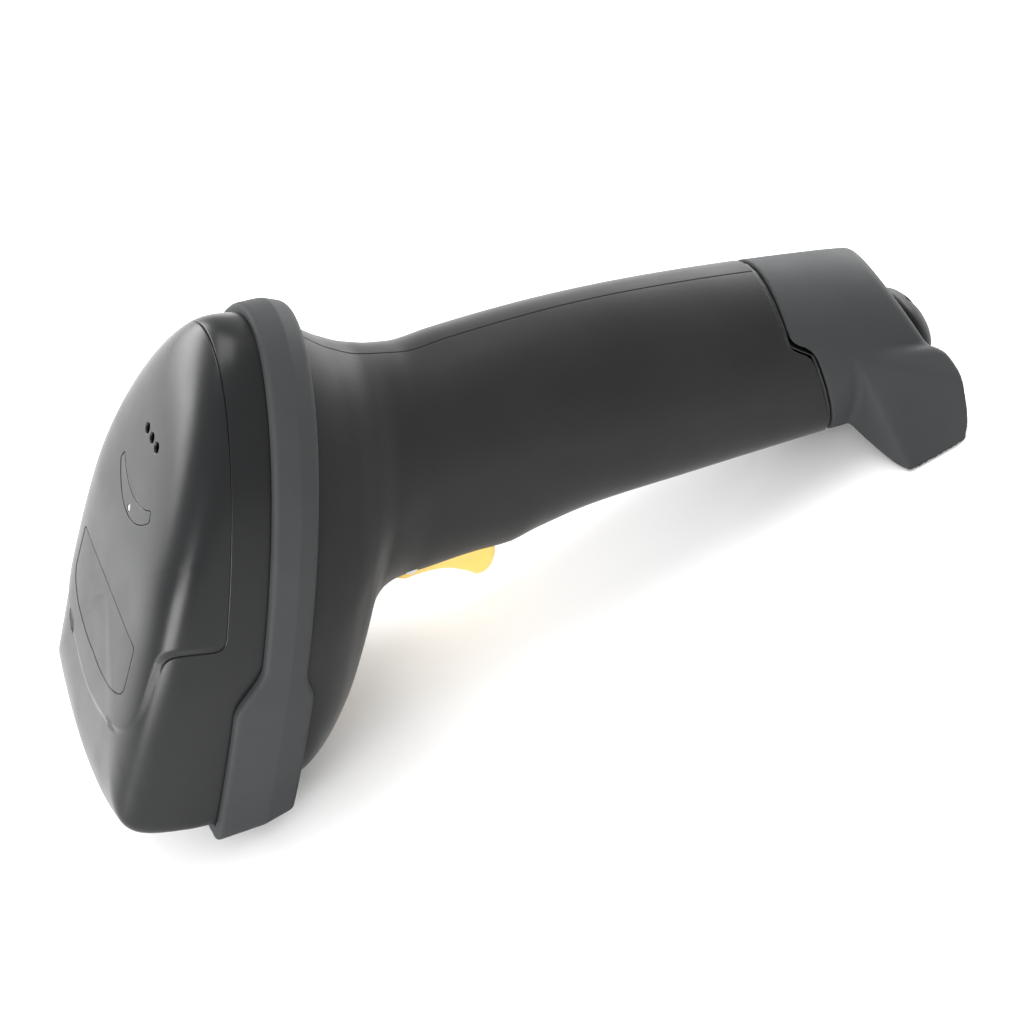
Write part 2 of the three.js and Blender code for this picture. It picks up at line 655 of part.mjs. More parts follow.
const padPlaces = () => [-2, -1, 0, 1, 2].map((i) => i * 4);
const contactPad = (y) => contactBox(1.8, 4.8, -1.1, -0.3, y);

// ---------------------------------------------------------------- the battery
const cellAxis = at(1, 0, CELL.slope).normalize();
const cellPoint = (s) => at(CELL.x, 0, CELL.z).addScaledVector(cellAxis, s);

function batteryCell() {
  const { radius, length } = CELL;
  const edge = 0.8;
  const profile = [[0, 0], [radius - edge, 0], [radius, edge], [radius, length - edge],
    [radius - edge, length], [3, length], [3, length + 1], [0, length + 1]];
  return turned(profile, cellAxis, cellPoint(0), 24);
}

function batteryCarrier() {
  const inner = CELL.radius + GAP;
  const outer = inner + 1.3;
  const tube = rod(cellPoint(-2.4), cellPoint(CELL.length + 3), outer, 24)
    .subtract(rod(cellPoint(-0.8), cellPoint(CELL.length + 4), inner, 24));
  const up = Y.clone().cross(cellAxis).negate();
  const middle = cellPoint(CELL.length / 2);
  const window = new THREE.BoxGeometry(CELL.length - 8, 2 * outer - 5, outer * 2);
  const cut = basis(window, cellAxis, Y, up, middle.clone().addScaledVector(up, outer * 1.35));
  return tube.subtract(solid(cut)).subtract(rod(cellPoint(-4), cellPoint(1), 3.4, 12));
}

const frontTerminal = () => rod(cellPoint(-2), cellPoint(-GAP), 2.8, 12);
const rearTerminal = () => rod(cellPoint(CELL.length + 1.3), cellPoint(CELL.length + 2), 5, 12);

// ---------------------------------------------------------------- the end cap
const endNormal = at(Math.cos(END.angle), 0, Math.sin(END.angle));
const endDown = at(Math.sin(END.angle), 0, -Math.cos(END.angle));
const endPoint = (along, out) => at(0, 0, 0)
  .addScaledVector(endNormal, END.offset + out).addScaledVector(endDown, along);

// Everything beyond a plane parallel to the end face.
function beyondEnd(out) {
  const corner = (along, extra) => {
    const p = endPoint(along, extra);
    return [p.x, p.z];
  };
  return slab([corner(-FAR, out), corner(FAR, out), corner(FAR, FAR), corner(-FAR, FAR)], -FAR, FAR);
}

function foot(side) {
  const root = [[115.4, 16, 89.2], [118.2, 16, 83.5], [120.9, 15, 76], [121, 13, 70], [131, 14, 90],
    [137, 12, 82]];
  const tip = [[135, 19.2, 92], [137.4, 22.4, 90.6], [138.2, 25.6, 87.6], [139.5, 28.4, 78.5],
    [139, 30, 71], [135.9, 30.7, 67.6], [130.4, 30.5, 65.6], [128.2, 29.6, 68.2], [124.8, 25.2, 70]];
  const points = [...root, ...tip];
  return solid(new ConvexGeometry(points.map(([x, y, z]) => at(x, side * y, z))));
}

function endCap() {
  const outer = housingSkin(0)
    .intersect(capRegion(GAP + SEAL.thick))
    .subtract(beyondEnd(0))
    .subtract(belowFloor(0.8));
  const inner = housingSkin(WALL).subtract(beyondEnd(-2.6)).subtract(belowFloor(2.8));
  return outer
    .add(foot(1).add(foot(-1)).subtract(belowFloor(0)))
    .subtract(inner)
    .subtract(rod(endPoint(LOCK.along, -20), endPoint(LOCK.along, 20), LOCK.shank + GAP, 20));
}

function capSeal() {
  return housingSkin(SEAL.inset)
    .subtract(housingSkin(SEAL.inset + SEAL.depth))
    .intersect(capRegion(0))
    .subtract(capRegion(SEAL.thick));
}

function capLock() {
  const { radius, height, shank, reach } = LOCK;
  const edge = degToRad(72);
  const dome = [0, 0.25, 0.5, 0.75, 1].map((t) => {
    const angle = (1 - t) * edge;
    const rise = (Math.cos(angle) - Math.cos(edge)) / (1 - Math.cos(edge));
    return [(radius * Math.sin(angle)) / Math.sin(edge), GAP + 1 + (height - 1) * rise];
  });
  const profile = [[0, -reach], [shank, -reach], [shank, GAP], [radius, GAP], ...dome];
  const slotBox = new THREE.BoxGeometry(11, 2, 4);
  const slotPlace = endPoint(LOCK.along, height + 1.2);
  const coinSlot = solid(basis(slotBox, endDown, Y.clone().negate(), endNormal, slotPlace));
  return turned(profile, endNormal, endPoint(LOCK.along, 0), 28).subtract(coinSlot);
}

// The bar that locks the cap: a disc with two flats, so that it turns inside the cap.
function lockCam() {
  const { along, reach, shank, camRadius, camHalfWidth, camThick } = LOCK;
  const low = endPoint(along, -reach + 1.3);
  const disc = rod(low, low.clone().addScaledVector(endNormal, camThick), camRadius, 28);
  const bar = new THREE.BoxGeometry(3 * camRadius, 2 * camHalfWidth, 3 * camThick);
  const flats = solid(basis(bar, endDown, Y.clone().negate(), endNormal, low));
  const hole = rod(endPoint(along, -30), endPoint(along, 0), shank + GAP, 20);
  return disc.intersect(flats).subtract(hole);
}

// ---------------------------------------------------------------- materials
const look = (color, roughness, metalness = 0) =>
  new THREE.MeshStandardMaterial({ color, roughness, metalness });
const LOOKS = {
  housing: look(0x26282a, 0.55),
  cover: look(0x2b2e31, 0.38),
  rubber: look(0x484d50, 0.7),
  black: look(0x131415, 0.5),
  trigger: look(0xf0c24e, 0.4),
  window: look(0x4a0f12, 0.08),
  lens: look(0x16181a, 0.12),
  board: look(0x1f5c38, 0.45),
  metal: look(0xb9bcc0, 0.3, 1),
  gold: look(0xd2aa4c, 0.3, 1),
  wrap: look(0x2f6aa8, 0.4),
  amber: look(0xb9731f, 0.5),
  clear: look(0xdfe6ea, 0.15),
};

// ---------------------------------------------------------------- assembly
const PIECES = [
  ["left_housing", housing(-1), LOOKS.housing],
  ["right_housing", housing(1), LOOKS.housing],
  ["top_cover", largest(topCover()), LOOKS.cover],
  ["crown_panel", largest(crownPanel()), LOOKS.cover],
  ["badge_plate", badgePlate(), LOOKS.cover],
  ["led_lens", ledLens(), LOOKS.lens],
  ["bumper", bumper(), LOOKS.rubber],
  ["scan_window", scanWindow(), LOOKS.window],
  ["window_bezel", windowBezel(), LOOKS.black],
  ["trigger", trigger(), LOOKS.trigger],
  ["trigger_pin", triggerPin(), LOOKS.metal],
  ["trigger_spring", triggerSpring(), LOOKS.metal],
  ["switch_body", switchBody(), LOOKS.black],
  ["switch_plunger", switchPlunger(), LOOKS.clear],
  ["handle_board", handleBoard(), LOOKS.board],
  ["ribbon_cable", ribbonCable(), LOOKS.amber],
  ["main_board", mainBoard(), LOOKS.board],
  ["processor_chip", processorChip(), LOOKS.black],
  ["memory_chip", memoryChip(), LOOKS.black],
  ["power_chip", powerChip(), LOOKS.black],
  ["radio_shield", radioShield(), LOOKS.metal],
  ["beeper", beeper(), LOOKS.black],
  ["light_pipe", lightPipe(), LOOKS.clear],
  ["scan_engine", scanEngine(), LOOKS.black],
  ["lens_barrel", lensBarrel(), LOOKS.lens],
  ["aimer_lens", aimerLens(), LOOKS.clear],
  ["illumination_led_left", illuminationLed(-1), LOOKS.clear],
  ["illumination_led_right", illuminationLed(1), LOOKS.clear],
  ["engine_bracket", engineBracket(), LOOKS.metal],
  ["contact_strip", contactStrip(), LOOKS.black],
  ...padPlaces().map((y, i) => [`contact_pad_${i + 1}`, contactPad(y), LOOKS.gold]),
  ["battery_cell", batteryCell(), LOOKS.wrap],
  ["battery_carrier", batteryCarrier(), LOOKS.black],
  ["front_terminal", frontTerminal(), LOOKS.metal],
  ["rear_terminal", rearTerminal(), LOOKS.metal],
  ...SCREWS.map((place, i) => [`housing_screw_${i + 1}`, housingScrew(place), LOOKS.metal]),
  ["end_cap", endCap(), LOOKS.rubber],
  ["cap_seal", capSeal(), LOOKS.black],
  ["cap_lock", capLock(), LOOKS.black],
  ["lock_cam", lockCam(), LOOKS.metal],
];

const scanner = new THREE.Group();
for (const [name, shape, material] of PIECES) {
  const mesh = new THREE.Mesh(geometryOf(shape), material);
  mesh.name = name;
  scanner.add(mesh);
}
scanner.rotation.y = REST_TILT;

// The origin is on the lying plane, under the middle of the scanner's box.
const part = new THREE.Group();
part.add(scanner);
const box = new THREE.Box3().setFromObject(part, true);
scanner.position.set(-(box.min.x + box.max.x) / 2, -(box.min.y + box.max.y) / 2, -box.min.z);

export default part;
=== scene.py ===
"""Handheld barcode scanner: the visible pieces, their materials, the studio and the camera.

The outer pieces are worked out in the scanner's own frame, in millimetres: x runs down the handle
from the ridge of the head's bumper, y is the scanner's right and z runs back from the nose. The
scanner lies tilted on the floor, so every piece is turned into the row frame, in metres, when it is
made. Two kinds of surface are used. A skin is a fine grid of triangles over the head or the handle,
which is cut along seams and openings, rounded over there and given a wall. A field is a signed
distance, negative inside a piece, and its zero surface becomes the piece's mesh.
"""
import json
from collections import namedtuple
from math import cos, pi, radians, sin

import bmesh
import bpy
import numpy as np
from mathutils import Matrix, Vector


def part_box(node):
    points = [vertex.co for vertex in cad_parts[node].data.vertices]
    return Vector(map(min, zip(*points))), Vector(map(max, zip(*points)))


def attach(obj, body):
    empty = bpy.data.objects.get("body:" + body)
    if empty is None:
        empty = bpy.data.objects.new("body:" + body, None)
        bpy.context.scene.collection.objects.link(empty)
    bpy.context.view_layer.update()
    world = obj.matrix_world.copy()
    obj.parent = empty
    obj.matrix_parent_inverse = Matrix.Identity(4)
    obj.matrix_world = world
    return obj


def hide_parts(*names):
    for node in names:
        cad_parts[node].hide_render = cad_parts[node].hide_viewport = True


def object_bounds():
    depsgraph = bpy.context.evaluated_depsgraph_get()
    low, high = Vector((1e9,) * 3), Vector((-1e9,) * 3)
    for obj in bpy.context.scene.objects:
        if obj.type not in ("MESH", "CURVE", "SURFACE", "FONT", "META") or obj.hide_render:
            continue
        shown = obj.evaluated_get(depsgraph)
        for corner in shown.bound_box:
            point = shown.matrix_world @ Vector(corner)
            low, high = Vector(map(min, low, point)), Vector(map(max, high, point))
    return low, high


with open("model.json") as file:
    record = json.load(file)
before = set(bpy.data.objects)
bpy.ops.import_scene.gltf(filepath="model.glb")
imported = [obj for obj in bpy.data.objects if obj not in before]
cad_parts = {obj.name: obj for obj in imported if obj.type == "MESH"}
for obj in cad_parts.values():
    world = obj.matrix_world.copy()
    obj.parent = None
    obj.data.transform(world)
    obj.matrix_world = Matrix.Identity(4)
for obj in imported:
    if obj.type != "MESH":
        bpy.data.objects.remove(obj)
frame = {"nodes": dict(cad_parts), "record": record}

CAD_BOX = [list(corner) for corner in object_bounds()]
MM = 0.001

# -------------------- driving dimensions, in mm
REST_TILT = radians(30.7)  # how far the scanner leans when it lies down
FLOOR = -6.54  # the lying plane's height along the tilted up axis
CHIN_HEIGHT, CHIN_END = 1.4, 30  # the flat chin's height over the lying plane, and its last x
GAP = 0.3  # clearance between pieces
WALL = 2.0  # wall of the housing halves

HEAD_REAR, HEAD_MIDDLE, HEAD_HALF = 97.2, 30.0, 32.0  # z, z and y of its rear and widest points
HEAD_CORNER_Y, HEAD_NOSE_Z, HEAD_TIP_Z, HEAD_CORNER = 30.6, -5.0, -7.8, 4.0
DOME_BASE, DOME_EDGE, DOME_CENTRE, DOME_WALL = 3.0, 2.4, 35.0, 2.2
DOME_REACH, DOME_HEIGHT = 45, 26  # about how far the dome spreads from its centre, and its height
DOME_POWER, DOME_POWER_CHANGE = 7, 1.2  # how square its shoulder is, more at the nose, less behind
DOME_NOSE_FADE, DOME_REAR_FADE = (-5, 10), (55, 90)  # z where the shoulder changes
DOME_HEM = 0.4  # where the dome's skin ends over the ridge plane, before it is cut
# how far the nose leans forward as it rises, how much more in its middle, and up to which height
NOSE_LEAN, NOSE_LEAN_MIDDLE, NOSE_LEAN_TOP = 0.08, 0.28, 14
DOME_LAP, HOUSING_LAP, PANEL_LAP = 0.8, 0.6, 1.5  # what runs under the bumper and under the panel
PANEL_RISE, PANEL_RAMP, PANEL_WALL, PANEL_FLOOR, PANEL_EDGE_X = 0.4, 1.6, 1.3, 1.5, -12.4
PANEL_STEP_TOP = 20  # how far up the walls the crown's step has its full height
PANEL_CORNER, SEAM_FADE = 2.5, (36, 41)  # the z over which the panel's seam begins
SEAM_GAP, SEAM_ROUNDING = 0.04, 0.2  # half of a seam's width, and how its edges are rounded
BORDER_ROUNDING = 0.25  # the rounding of the crown panel's and the badge's edges
BADGE_WALL = 0.9
BUMPER_UPPER, BUMPER_UPPER_NOSE, BUMPER_LOWER, BUMPER_LOWER_NOSE = 4.9, 9.4, 3.8, 5.8
BUMPER_UPPER_FADE, BUMPER_LOWER_FADE, NOSE_FADE = (26, 38), (29, 36), (-4, 8)  # in z
BUMPER_THICK, BUMPER_LEAN, BUMPER_FACET, BUMPER_EDGE = 3.5, 0.4, 0.75, 1.1
FLOOR_MARGIN = 0.1  # how far the bumper and the feet stay off the lying plane
MOUTH_HALF, MOUTH_TOP, MOUTH_BOTTOM, MOUTH_DEPTH, MOUTH_CORNER = 23.0, -7.2, 3.6, 12, 2.4
LED_LOW, LED_HIGH, LED_OUTER, LED_INNER = 54.0, 58.2, (10.5, 59.3), (9.6, 61.5)
LED_PIPE_Z, LED_PIPE_HOLE = 55.8, 2.4
LED_DOT_Z, LED_DOT_RADIUS = 55.3, 0.7
BEEPER_Z, BEEPER_PITCH, BEEPER_HOLE = 71.0, 3.2, 1.0
BADGE_HALF, BADGE_TOP, BADGE_SIDE, BADGE_BOW, BADGE_CORNER = 19.3, 37.0, 26.0, 15.0, 2.0
TRIGGER_PIVOT, TRIGGER_HALF, TRIGGER_PIN, TRIGGER_BACK = (30.5, 42.6), 8.4, 1.5, 3.6
SLOT_START, SLOT_END, SLOT_HALF = 25.4, 51.2, 9.2
SCREWS = [(14, 76), (14, 26), (64, 88), (90, 62.5)]  # x and z
SCREW_SEAT, SCREW_HOLE, SCREW_SHANK_HOLE, SLEEVE_WALL = 9.1, 3.2, 1.9, 1
SCREW_HEAD, SCREW_HEAD_HEIGHT, SCREW_SHANK, SCREW_LENGTH = 2.8, 2.3, 1.5, 17
CROSS_WIDTH, CROSS_LENGTH, CROSS_FLOOR = 0.45, 1.7, 1.1
CONTACT_X, CONTACT_Z, CONTACT_ANGLE = 17.7, 10.4, radians(-21)
CONTACT_HALF, CONTACT_LENGTH = 12.6, 4.3
# x and z where the cap meets the handle
CAP_LINE = [(95.4, 110), (100.5, 92.7), (101.3, 91.2), (102.6, 90.4), (104.8, 89.7), (106.1, 88.9),
            (107, 87.7), (127.13, 50)]
SEAL = 0.6  # thickness of the cap's gasket
END_ANGLE, END_OFFSET = radians(40.2), 159.5
END_WALL, CAP_FLOOR, CAP_FLOOR_WALL = 2.6, 0.8, 2.0
LOCK_ALONG, LOCK_RADIUS, LOCK_HEIGHT, LOCK_SHANK, LOCK_REACH = 23.6, 8.2, 4.2, 3.0, 10.0
COIN_SLOT_HALF, COIN_SLOT_LENGTH, COIN_SLOT_DEPTH = 1, 5.5, 0.8
FAR = 100.0  # a field's value where its opening can't be

Skin = namedtuple("Skin", "points normals faces")  # one normal to a point, three points to a face

# -------------------- numbers and curves


def cubic(*stations):
    """A monotone cubic through (x, y) stations, as a function of an array."""
    x, y = np.array(stations, float).T
    h = np.diff(x)
    d = np.diff(y) / h
    m = np.concatenate([d[:1], np.zeros(len(x) - 2), d[-1:]])
    for i in range(1, len(x) - 1):
        if d[i - 1] * d[i] > 0:
            near, far = 2 * h[i] + h[i - 1], h[i] + 2 * h[i - 1]
            m[i] = (near + far) / (near / d[i - 1] + far / d[i])

    def value(q):
        q = np.clip(np.asarray(q, float), x[0], x[-1])
        i = np.clip(np.searchsorted(x, q) - 1, 0, len(x) - 2)
        t = (q - x[i]) / h[i]
        start = (1 + 2 * t) * (1 - t) ** 2 * y[i] + t * (1 - t) ** 2 * h[i] * m[i]
        return start + t * t * (3 - 2 * t) * y[i + 1] + t * t * (t - 1) * h[i] * m[i + 1]

    return value


def smoothstep(low, high, value):
    t = np.clip((np.asarray(value, float) - low) / (high - low), 0, 1)
    return t * t * (3 - 2 * t)


def mix(a, b, share):
    return a + (b - a) * share


def bezier(a, b, c, d, t):
    return (1 - t) ** 3 * a + 3 * (1 - t) ** 2 * t * b + 3 * (1 - t) * t * t * c + t ** 3 * d


def arc(start, control, end, count=16):
    """Points of a quadratic curve, without its last point."""
    t = np.linspace(0, 1, count, endpoint=False)[:, None]
    start, control, end = (np.array(p, float) for p in (start, control, end))
    return (1 - t) ** 2 * start + 2 * (1 - t) * t * control + t * t * end


def rounded_max(a, b, radius):
    share = np.clip(0.5 + 0.5 * (a - b) / radius, 0, 1)
    return mix(b, a, share) + radius * share * (1 - share)


def rounded_min(a, b, radius):
    return -rounded_max(-a, -b, radius)


def line_distance(points, line):
    """Distance from 2D points to a closed line."""
    best = np.full(len(points), np.inf)
    for start, end in zip(line, np.roll(line, -1, axis=0)):
        edge = end - start
        away = points - start
        t = np.clip(away @ edge / (edge @ edge), 0, 1)
        best = np.minimum(best, np.hypot(*(away - t[:, None] * edge).T))
    return best


def inside_line(points, line):
    inside = np.zeros(len(points), bool)
    for (u0, v0), (u1, v1) in zip(line, np.roll(line, -1, axis=0)):
        if v0 == v1:
            continue
        spans = (points[:, 1] >= min(v0, v1)) & (points[:, 1] < max(v0, v1))
        inside ^= spans & (points[:, 0] < u0 + (points[:, 1] - v0) * (u1 - u0) / (v1 - v0))
    return inside


def depth_in(points, line):
    """How deep 2D points lie inside a closed line; negative outside."""
    line = np.asarray(line, float)
    return np.where(inside_line(points, line), 1, -1) * line_distance(points, line)


def lookup(table, low, step):
    """A function that reads a table on a regular 2D grid, in between its values."""
    def read(u, v):
        i = np.clip((u - low[0]) / step[0], 0, table.shape[0] - 1.001)
        j = np.clip((v - low[1]) / step[1], 0, table.shape[1] - 1.001)
        a, b = i.astype(int), j.astype(int)
        i, j = i - a, j - b
        near = table[a, b] * (1 - j) + table[a, b + 1] * j
        far = table[a + 1, b] * (1 - j) + table[a + 1, b + 1] * j
        return near * (1 - i) + far * i
    return read


# -------------------- the two frames
UP = np.array([-sin(REST_TILT), 0, cos(REST_TILT)])
TO_ROW = np.array([[cos(REST_TILT), 0, sin(REST_TILT)], [0, 1, 0], UP])
PIN_CENTRE = np.mean([list(c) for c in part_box("trigger_pin")], axis=0) / MM
ORIGIN_X = PIN_CENTRE[0] - TO_ROW[0] @ (TRIGGER_PIVOT[0], 0, TRIGGER_PIVOT[1])


def height(points):
    """Height of points over the lying plane."""
    return points @ UP - FLOOR


def in_row(points):
    """Points of the scanner's frame, in the row frame and in metres."""
    return (np.asarray(points, float) @ TO_ROW.T + (ORIGIN_X, 0, -FLOOR)) * MM


# -------------------- meshes


def point_normals(points, faces):
    a, b, c = (points[faces[:, i]] for i in range(3))
    flat = np.cross(b - a, c - a)
    total = np.zeros_like(points)
    for i in range(3):
        np.add.at(total, faces[:, i], flat)
    return total / np.maximum(np.linalg.norm(total, axis=1), 1e-12)[:, None]


def grid_skin(rows, wrap, outward):
    """A skin over a grid of points, with its normals on the side that outward gives for the points."""
    count, width = rows.shape[:2]
    span = width if wrap else width - 1
    i, j = np.meshgrid(np.arange(count - 1), np.arange(span), indexing="ij")
    a, b = i * width + j, i * width + (j + 1) % width
    c, d = a + width, b + width
    faces = np.concatenate([np.stack(three, -1).reshape(-1, 3) for three in ((a, b, d), (a, d, c))])
    points = rows.reshape(-1, 3)
    normals = point_normals(points, faces).reshape(rows.shape)
    for _ in range(3):
        inner = normals[1:-1] if wrap else normals[1:-1, 1:-1]
        sides = (np.roll(normals, 1, 1) + np.roll(normals, -1, 1))[1:-1]
        ends = normals[2:] + normals[:-2]
        if not wrap:
            sides, ends = sides[:, 1:-1], ends[:, 1:-1]
        inner += (sides + ends - 4 * inner) / 8
    normals = normals.reshape(-1, 3)
    normals /= np.linalg.norm(normals, axis=1)[:, None]
    if (normals * outward(points)).sum() < 0:
        faces, normals = faces[:, ::-1], -normals
    return Skin(points, normals, faces)


def split(skin, values, snap):
    """Cuts the triangles where the values at their points pass through zero.

    A point nearer to the cut than snap, as a share of an edge, is moved onto it instead.
    """
    points, normals, faces = skin.points.copy(), skin.normals, skin.faces
    values = values.copy()

    def crossings():
        edges = np.sort(faces[:, [[0, 1], [1, 2], [2, 0]]].reshape(-1, 2), axis=1)
        keys, where = np.unique(edges[:, 0] * len(points) + edges[:, 1], return_inverse=True)
        a, b = keys // len(points), keys % len(points)
        crossed = values[a] * values[b] < 0
        share = np.where(crossed, values[a] / np.where(crossed, values[a] - values[b], 1), 0)
        return a, b, crossed, share, where.reshape(-1, 3)

    a, b, crossed, share, _ = crossings()
    for end, other, part in ((a, b, share), (b, a, 1 - share)):
        near = crossed & (part < snap)
        moved = end[near]
        points[moved] = mix(points[moved], points[other[near]], part[near][:, None])
        values[moved] = 0
        crossed &= values[a] * values[b] < 0
    a, b, crossed, share, where = crossings()
    fresh = np.full(len(a), -1)
    fresh[crossed] = len(points) + np.arange(crossed.sum())
    share = share[crossed][:, None]
    a, b = a[crossed], b[crossed]
    blend = mix(normals[a], normals[b], share)
    blend /= np.linalg.norm(blend, axis=1)[:, None]
    points = np.concatenate([points, mix(points[a], points[b], share)])
    normals = np.concatenate([normals, blend])
    cuts = fresh[where]
    count = (cuts >= 0).sum(axis=1)
    out = [faces[count == 0]]
    for turn in range(3):
        f, e = np.roll(faces, -turn, axis=1), np.roll(cuts, -turn, axis=1)
        one = (count == 1) & (e[:, 1] >= 0)
        p, q, r, m = f[one, 0], f[one, 1], f[one, 2], e[one, 1]
        out += [np.stack([p, q, m], 1), np.stack([p, m, r], 1)]
        two = (count == 2) & (e[:, 1] < 0)
        p, q, r, m, n = f[two, 0], f[two, 1], f[two, 2], e[two, 0], e[two, 2]
        out += [np.stack([p, m, n], 1), np.stack([m, q, r], 1), np.stack([m, r, n], 1)]
    return Skin(points, normals, np.concatenate(out))


def keep_faces(skin, keep):
    faces = skin.faces[keep]
    used = np.unique(faces)
    place = np.full(len(skin.points), -1)
    place[used] = np.arange(len(used))
    return Skin(skin.points[used], skin.normals[used], place[faces])


ROUNDING = (0.076, 0.293, 0.617, 1)  # where a quarter circle is cut, in shares of its radius


def carve(skin, cuts, wall, rise=0.0):
    """The closed shell of a skin where every field is over its gap, with its edges there rounded over.

    cuts holds (field, gap, radius), with a fourth entry where the rounding fades out: a function of
    the points, from 0 to 1. rise lifts the whole shell off the skin.
    """
    for field, gap, radius, *_ in cuts:
        skin = split(skin, field(skin.points) - gap, snap=0.2)
        skin = keep_faces(skin, (field(skin.points) - gap)[skin.faces].sum(axis=1) > 0)
        for share in ROUNDING if radius else ():
            skin = split(skin, field(skin.points) - gap - share * radius, snap=0)
    sink, normals = np.zeros(len(skin.points)), skin.normals.copy()
    for field, gap, radius, *fade in cuts:
        if radius:
            value = field(skin.points)
            depth = fade[0](skin.points) if fade else np.ones(len(value))
            reach = radius - np.clip(value - gap, 0, radius)
            dip = depth * (radius - np.sqrt(radius ** 2 - reach ** 2))
            deeper = dip > sink
            sink = np.where(deeper, dip, sink)
            lean = -slope_of(field, skin.points, value)
            lean -= skin.normals * (lean * skin.normals).sum(axis=1)[:, None]
            lean /= np.maximum(np.linalg.norm(lean, axis=1), 1e-6)[:, None]
            tilt = (depth * reach / radius)[:, None]
            rounded = skin.normals * np.sqrt(1 - tilt ** 2) + lean * tilt
            normals = np.where(deeper[:, None], rounded, normals)
    outer = skin.points + skin.normals * (rise - sink)[:, None]
    inner = skin.points + skin.normals * (rise - wall)
    points, faces = shell(outer, inner, skin.faces)
    return points, faces, np.concatenate([normals, -skin.normals])


def slope_of(field, points, value):
    """The direction in which a field grows, for each point."""
    probe = 0.02
    return np.stack([(field(points + probe * e) - value) / probe for e in np.eye(3)], axis=1)


def shell(outer, inner, faces):
    """Outer and inner points of one skin, joined round its open edges; gives points and faces."""
    count = len(outer)
    edges = faces[:, [[0, 1], [1, 2], [2, 0]]].reshape(-1, 2)
    keys = np.sort(edges, axis=1) @ (count, 1)
    _, where, uses = np.unique(keys, return_inverse=True, return_counts=True)
    rim = edges[uses[where] == 1]
    sides = np.stack([rim[:, 1], rim[:, 0], rim[:, 0] + count, rim[:, 1] + count], axis=1)
    walls = [*faces.tolist(), *(faces[:, ::-1] + count).tolist(), *sides.tolist()]
    return np.concatenate([outer, inner]), walls


def joined(*meshes):
    """Several meshes of (points, faces, normals) as one."""
    faces, start = [], 0
    for points, walls, _ in meshes:
        faces += [[i + start for i in face] for face in walls]
        start += len(points)
    return np.concatenate([m[0] for m in meshes]), faces, np.concatenate([m[2] for m in meshes])


def surface(field, low, high, pitch):
    """The surface where a field is zero: one point to each cell that it crosses, moved onto it.

    The grid of cells fills the box from low to high, and pitch is a cell's size.
    """
    axes = [np.arange(a, b + pitch, pitch) for a, b in zip(low, high)]
    grid = np.stack(np.meshgrid(*axes, indexing="ij"), -1)
    values = field(grid.reshape(-1, 3)).reshape(grid.shape[:3])
    shape = tuple(n - 1 for n in values.shape)
    total, count = np.zeros((np.prod(shape), 3)), np.zeros(np.prod(shape))
    quads = []
    for axis in range(3):
        step = np.eye(3, dtype=int)[axis]
        across, along = (axis + 1) % 3, (axis + 2) % 3
        near = np.moveaxis(values, axis, 0)[:-1]
        far = np.moveaxis(values, axis, 0)[1:]
        spots = np.argwhere(np.moveaxis((near < 0) != (far < 0), 0, axis))
        here, there = values[tuple(spots.T)], values[tuple((spots + step).T)]
        points = grid[tuple(spots.T)] + step * (pitch * here / (here - there))[:, None]
        ring = []
        for back_across, back_along in ((1, 1), (0, 1), (0, 0), (1, 0)):
            cell = spots.copy()
            cell[:, across] -= back_across
            cell[:, along] -= back_along
            flat = np.ravel_multi_index(tuple(cell.T), shape)
            np.add.at(total, flat, points)
            np.add.at(count, flat, 1)
            ring.append(flat)
        ring = np.stack(ring, axis=1)
        quads.append(np.where((here < 0)[:, None], ring, ring[:, ::-1]))
    used = count > 0
    place = np.cumsum(used) - 1
    points = total[used] / count[used][:, None]
    for _ in range(3):
        value = field(points)
        slope = slope_of(field, points, value)
        move = np.clip(value / np.maximum((slope ** 2).sum(axis=1), 0.05), -pitch / 2, pitch / 2)
        points = points - slope * move[:, None]
    normals = slope_of(field, points, field(points))
    normals /= np.maximum(np.linalg.norm(normals, axis=1), 1e-6)[:, None]
    return points, place[np.concatenate(quads)].tolist(), normals


def piece(name, mesh, body, nodes, material):
    """A visible piece from a mesh in the scanner's frame, riding on a body in the place of CAD nodes."""
    points, faces, normals = mesh
    data = bpy.data.meshes.new(name)
    data.from_pydata(in_row(points).tolist(), [], faces)
    data.validate()
    data.polygons.foreach_set("use_smooth", [True] * len(data.polygons))
    data.normals_split_custom_set_from_vertices((normals @ TO_ROW.T).tolist())
    obj = bpy.data.objects.new(name, data)
    bpy.context.scene.collection.objects.link(obj)
    data.materials.append(material)
    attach(obj, body)
    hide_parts(*nodes)


# -------------------- the head's outline


def head_outline(inset):
    """The closed outline of the bumper's ridge, moved inward, as [y, z] points."""
    t = np.linspace(0, pi / 2, 90, endpoint=False)
    rear = np.stack([HEAD_HALF * np.sin(t), mix(HEAD_MIDDLE, HEAD_REAR, np.cos(t))], 1)
    t = np.linspace(0, 1, 30, endpoint=False)
    corner_z = HEAD_NOSE_Z + HEAD_CORNER
    side = np.stack([mix(HEAD_HALF, HEAD_CORNER_Y, t * t), mix(HEAD_MIDDLE, corner_z, t)], 1)
    t = np.linspace(0, pi / 2, 12, endpoint=False)
    corner_y = HEAD_CORNER_Y - HEAD_CORNER
    corner = np.stack([corner_y + HEAD_CORNER * np.cos(t), corner_z - HEAD_CORNER * np.sin(t)], 1)
    t = np.linspace(1, 0, 24)
    front = np.stack([corner_y * t, mix(HEAD_TIP_Z, HEAD_NOSE_Z, t * t)], 1)
    half = np.concatenate([rear, side, corner, front])
    along = np.gradient(half, axis=0)
    along /= np.linalg.norm(along, axis=1)[:, None]
    along[0], along[-1] = (1, 0), (-1, 0)
    half = half + inset * np.stack([along[:, 1], -along[:, 0]], 1)
    half[:, 0] = np.maximum(half[:, 0], 0)
    return np.concatenate([half, half[-2:0:-1] * (-1, 1)])


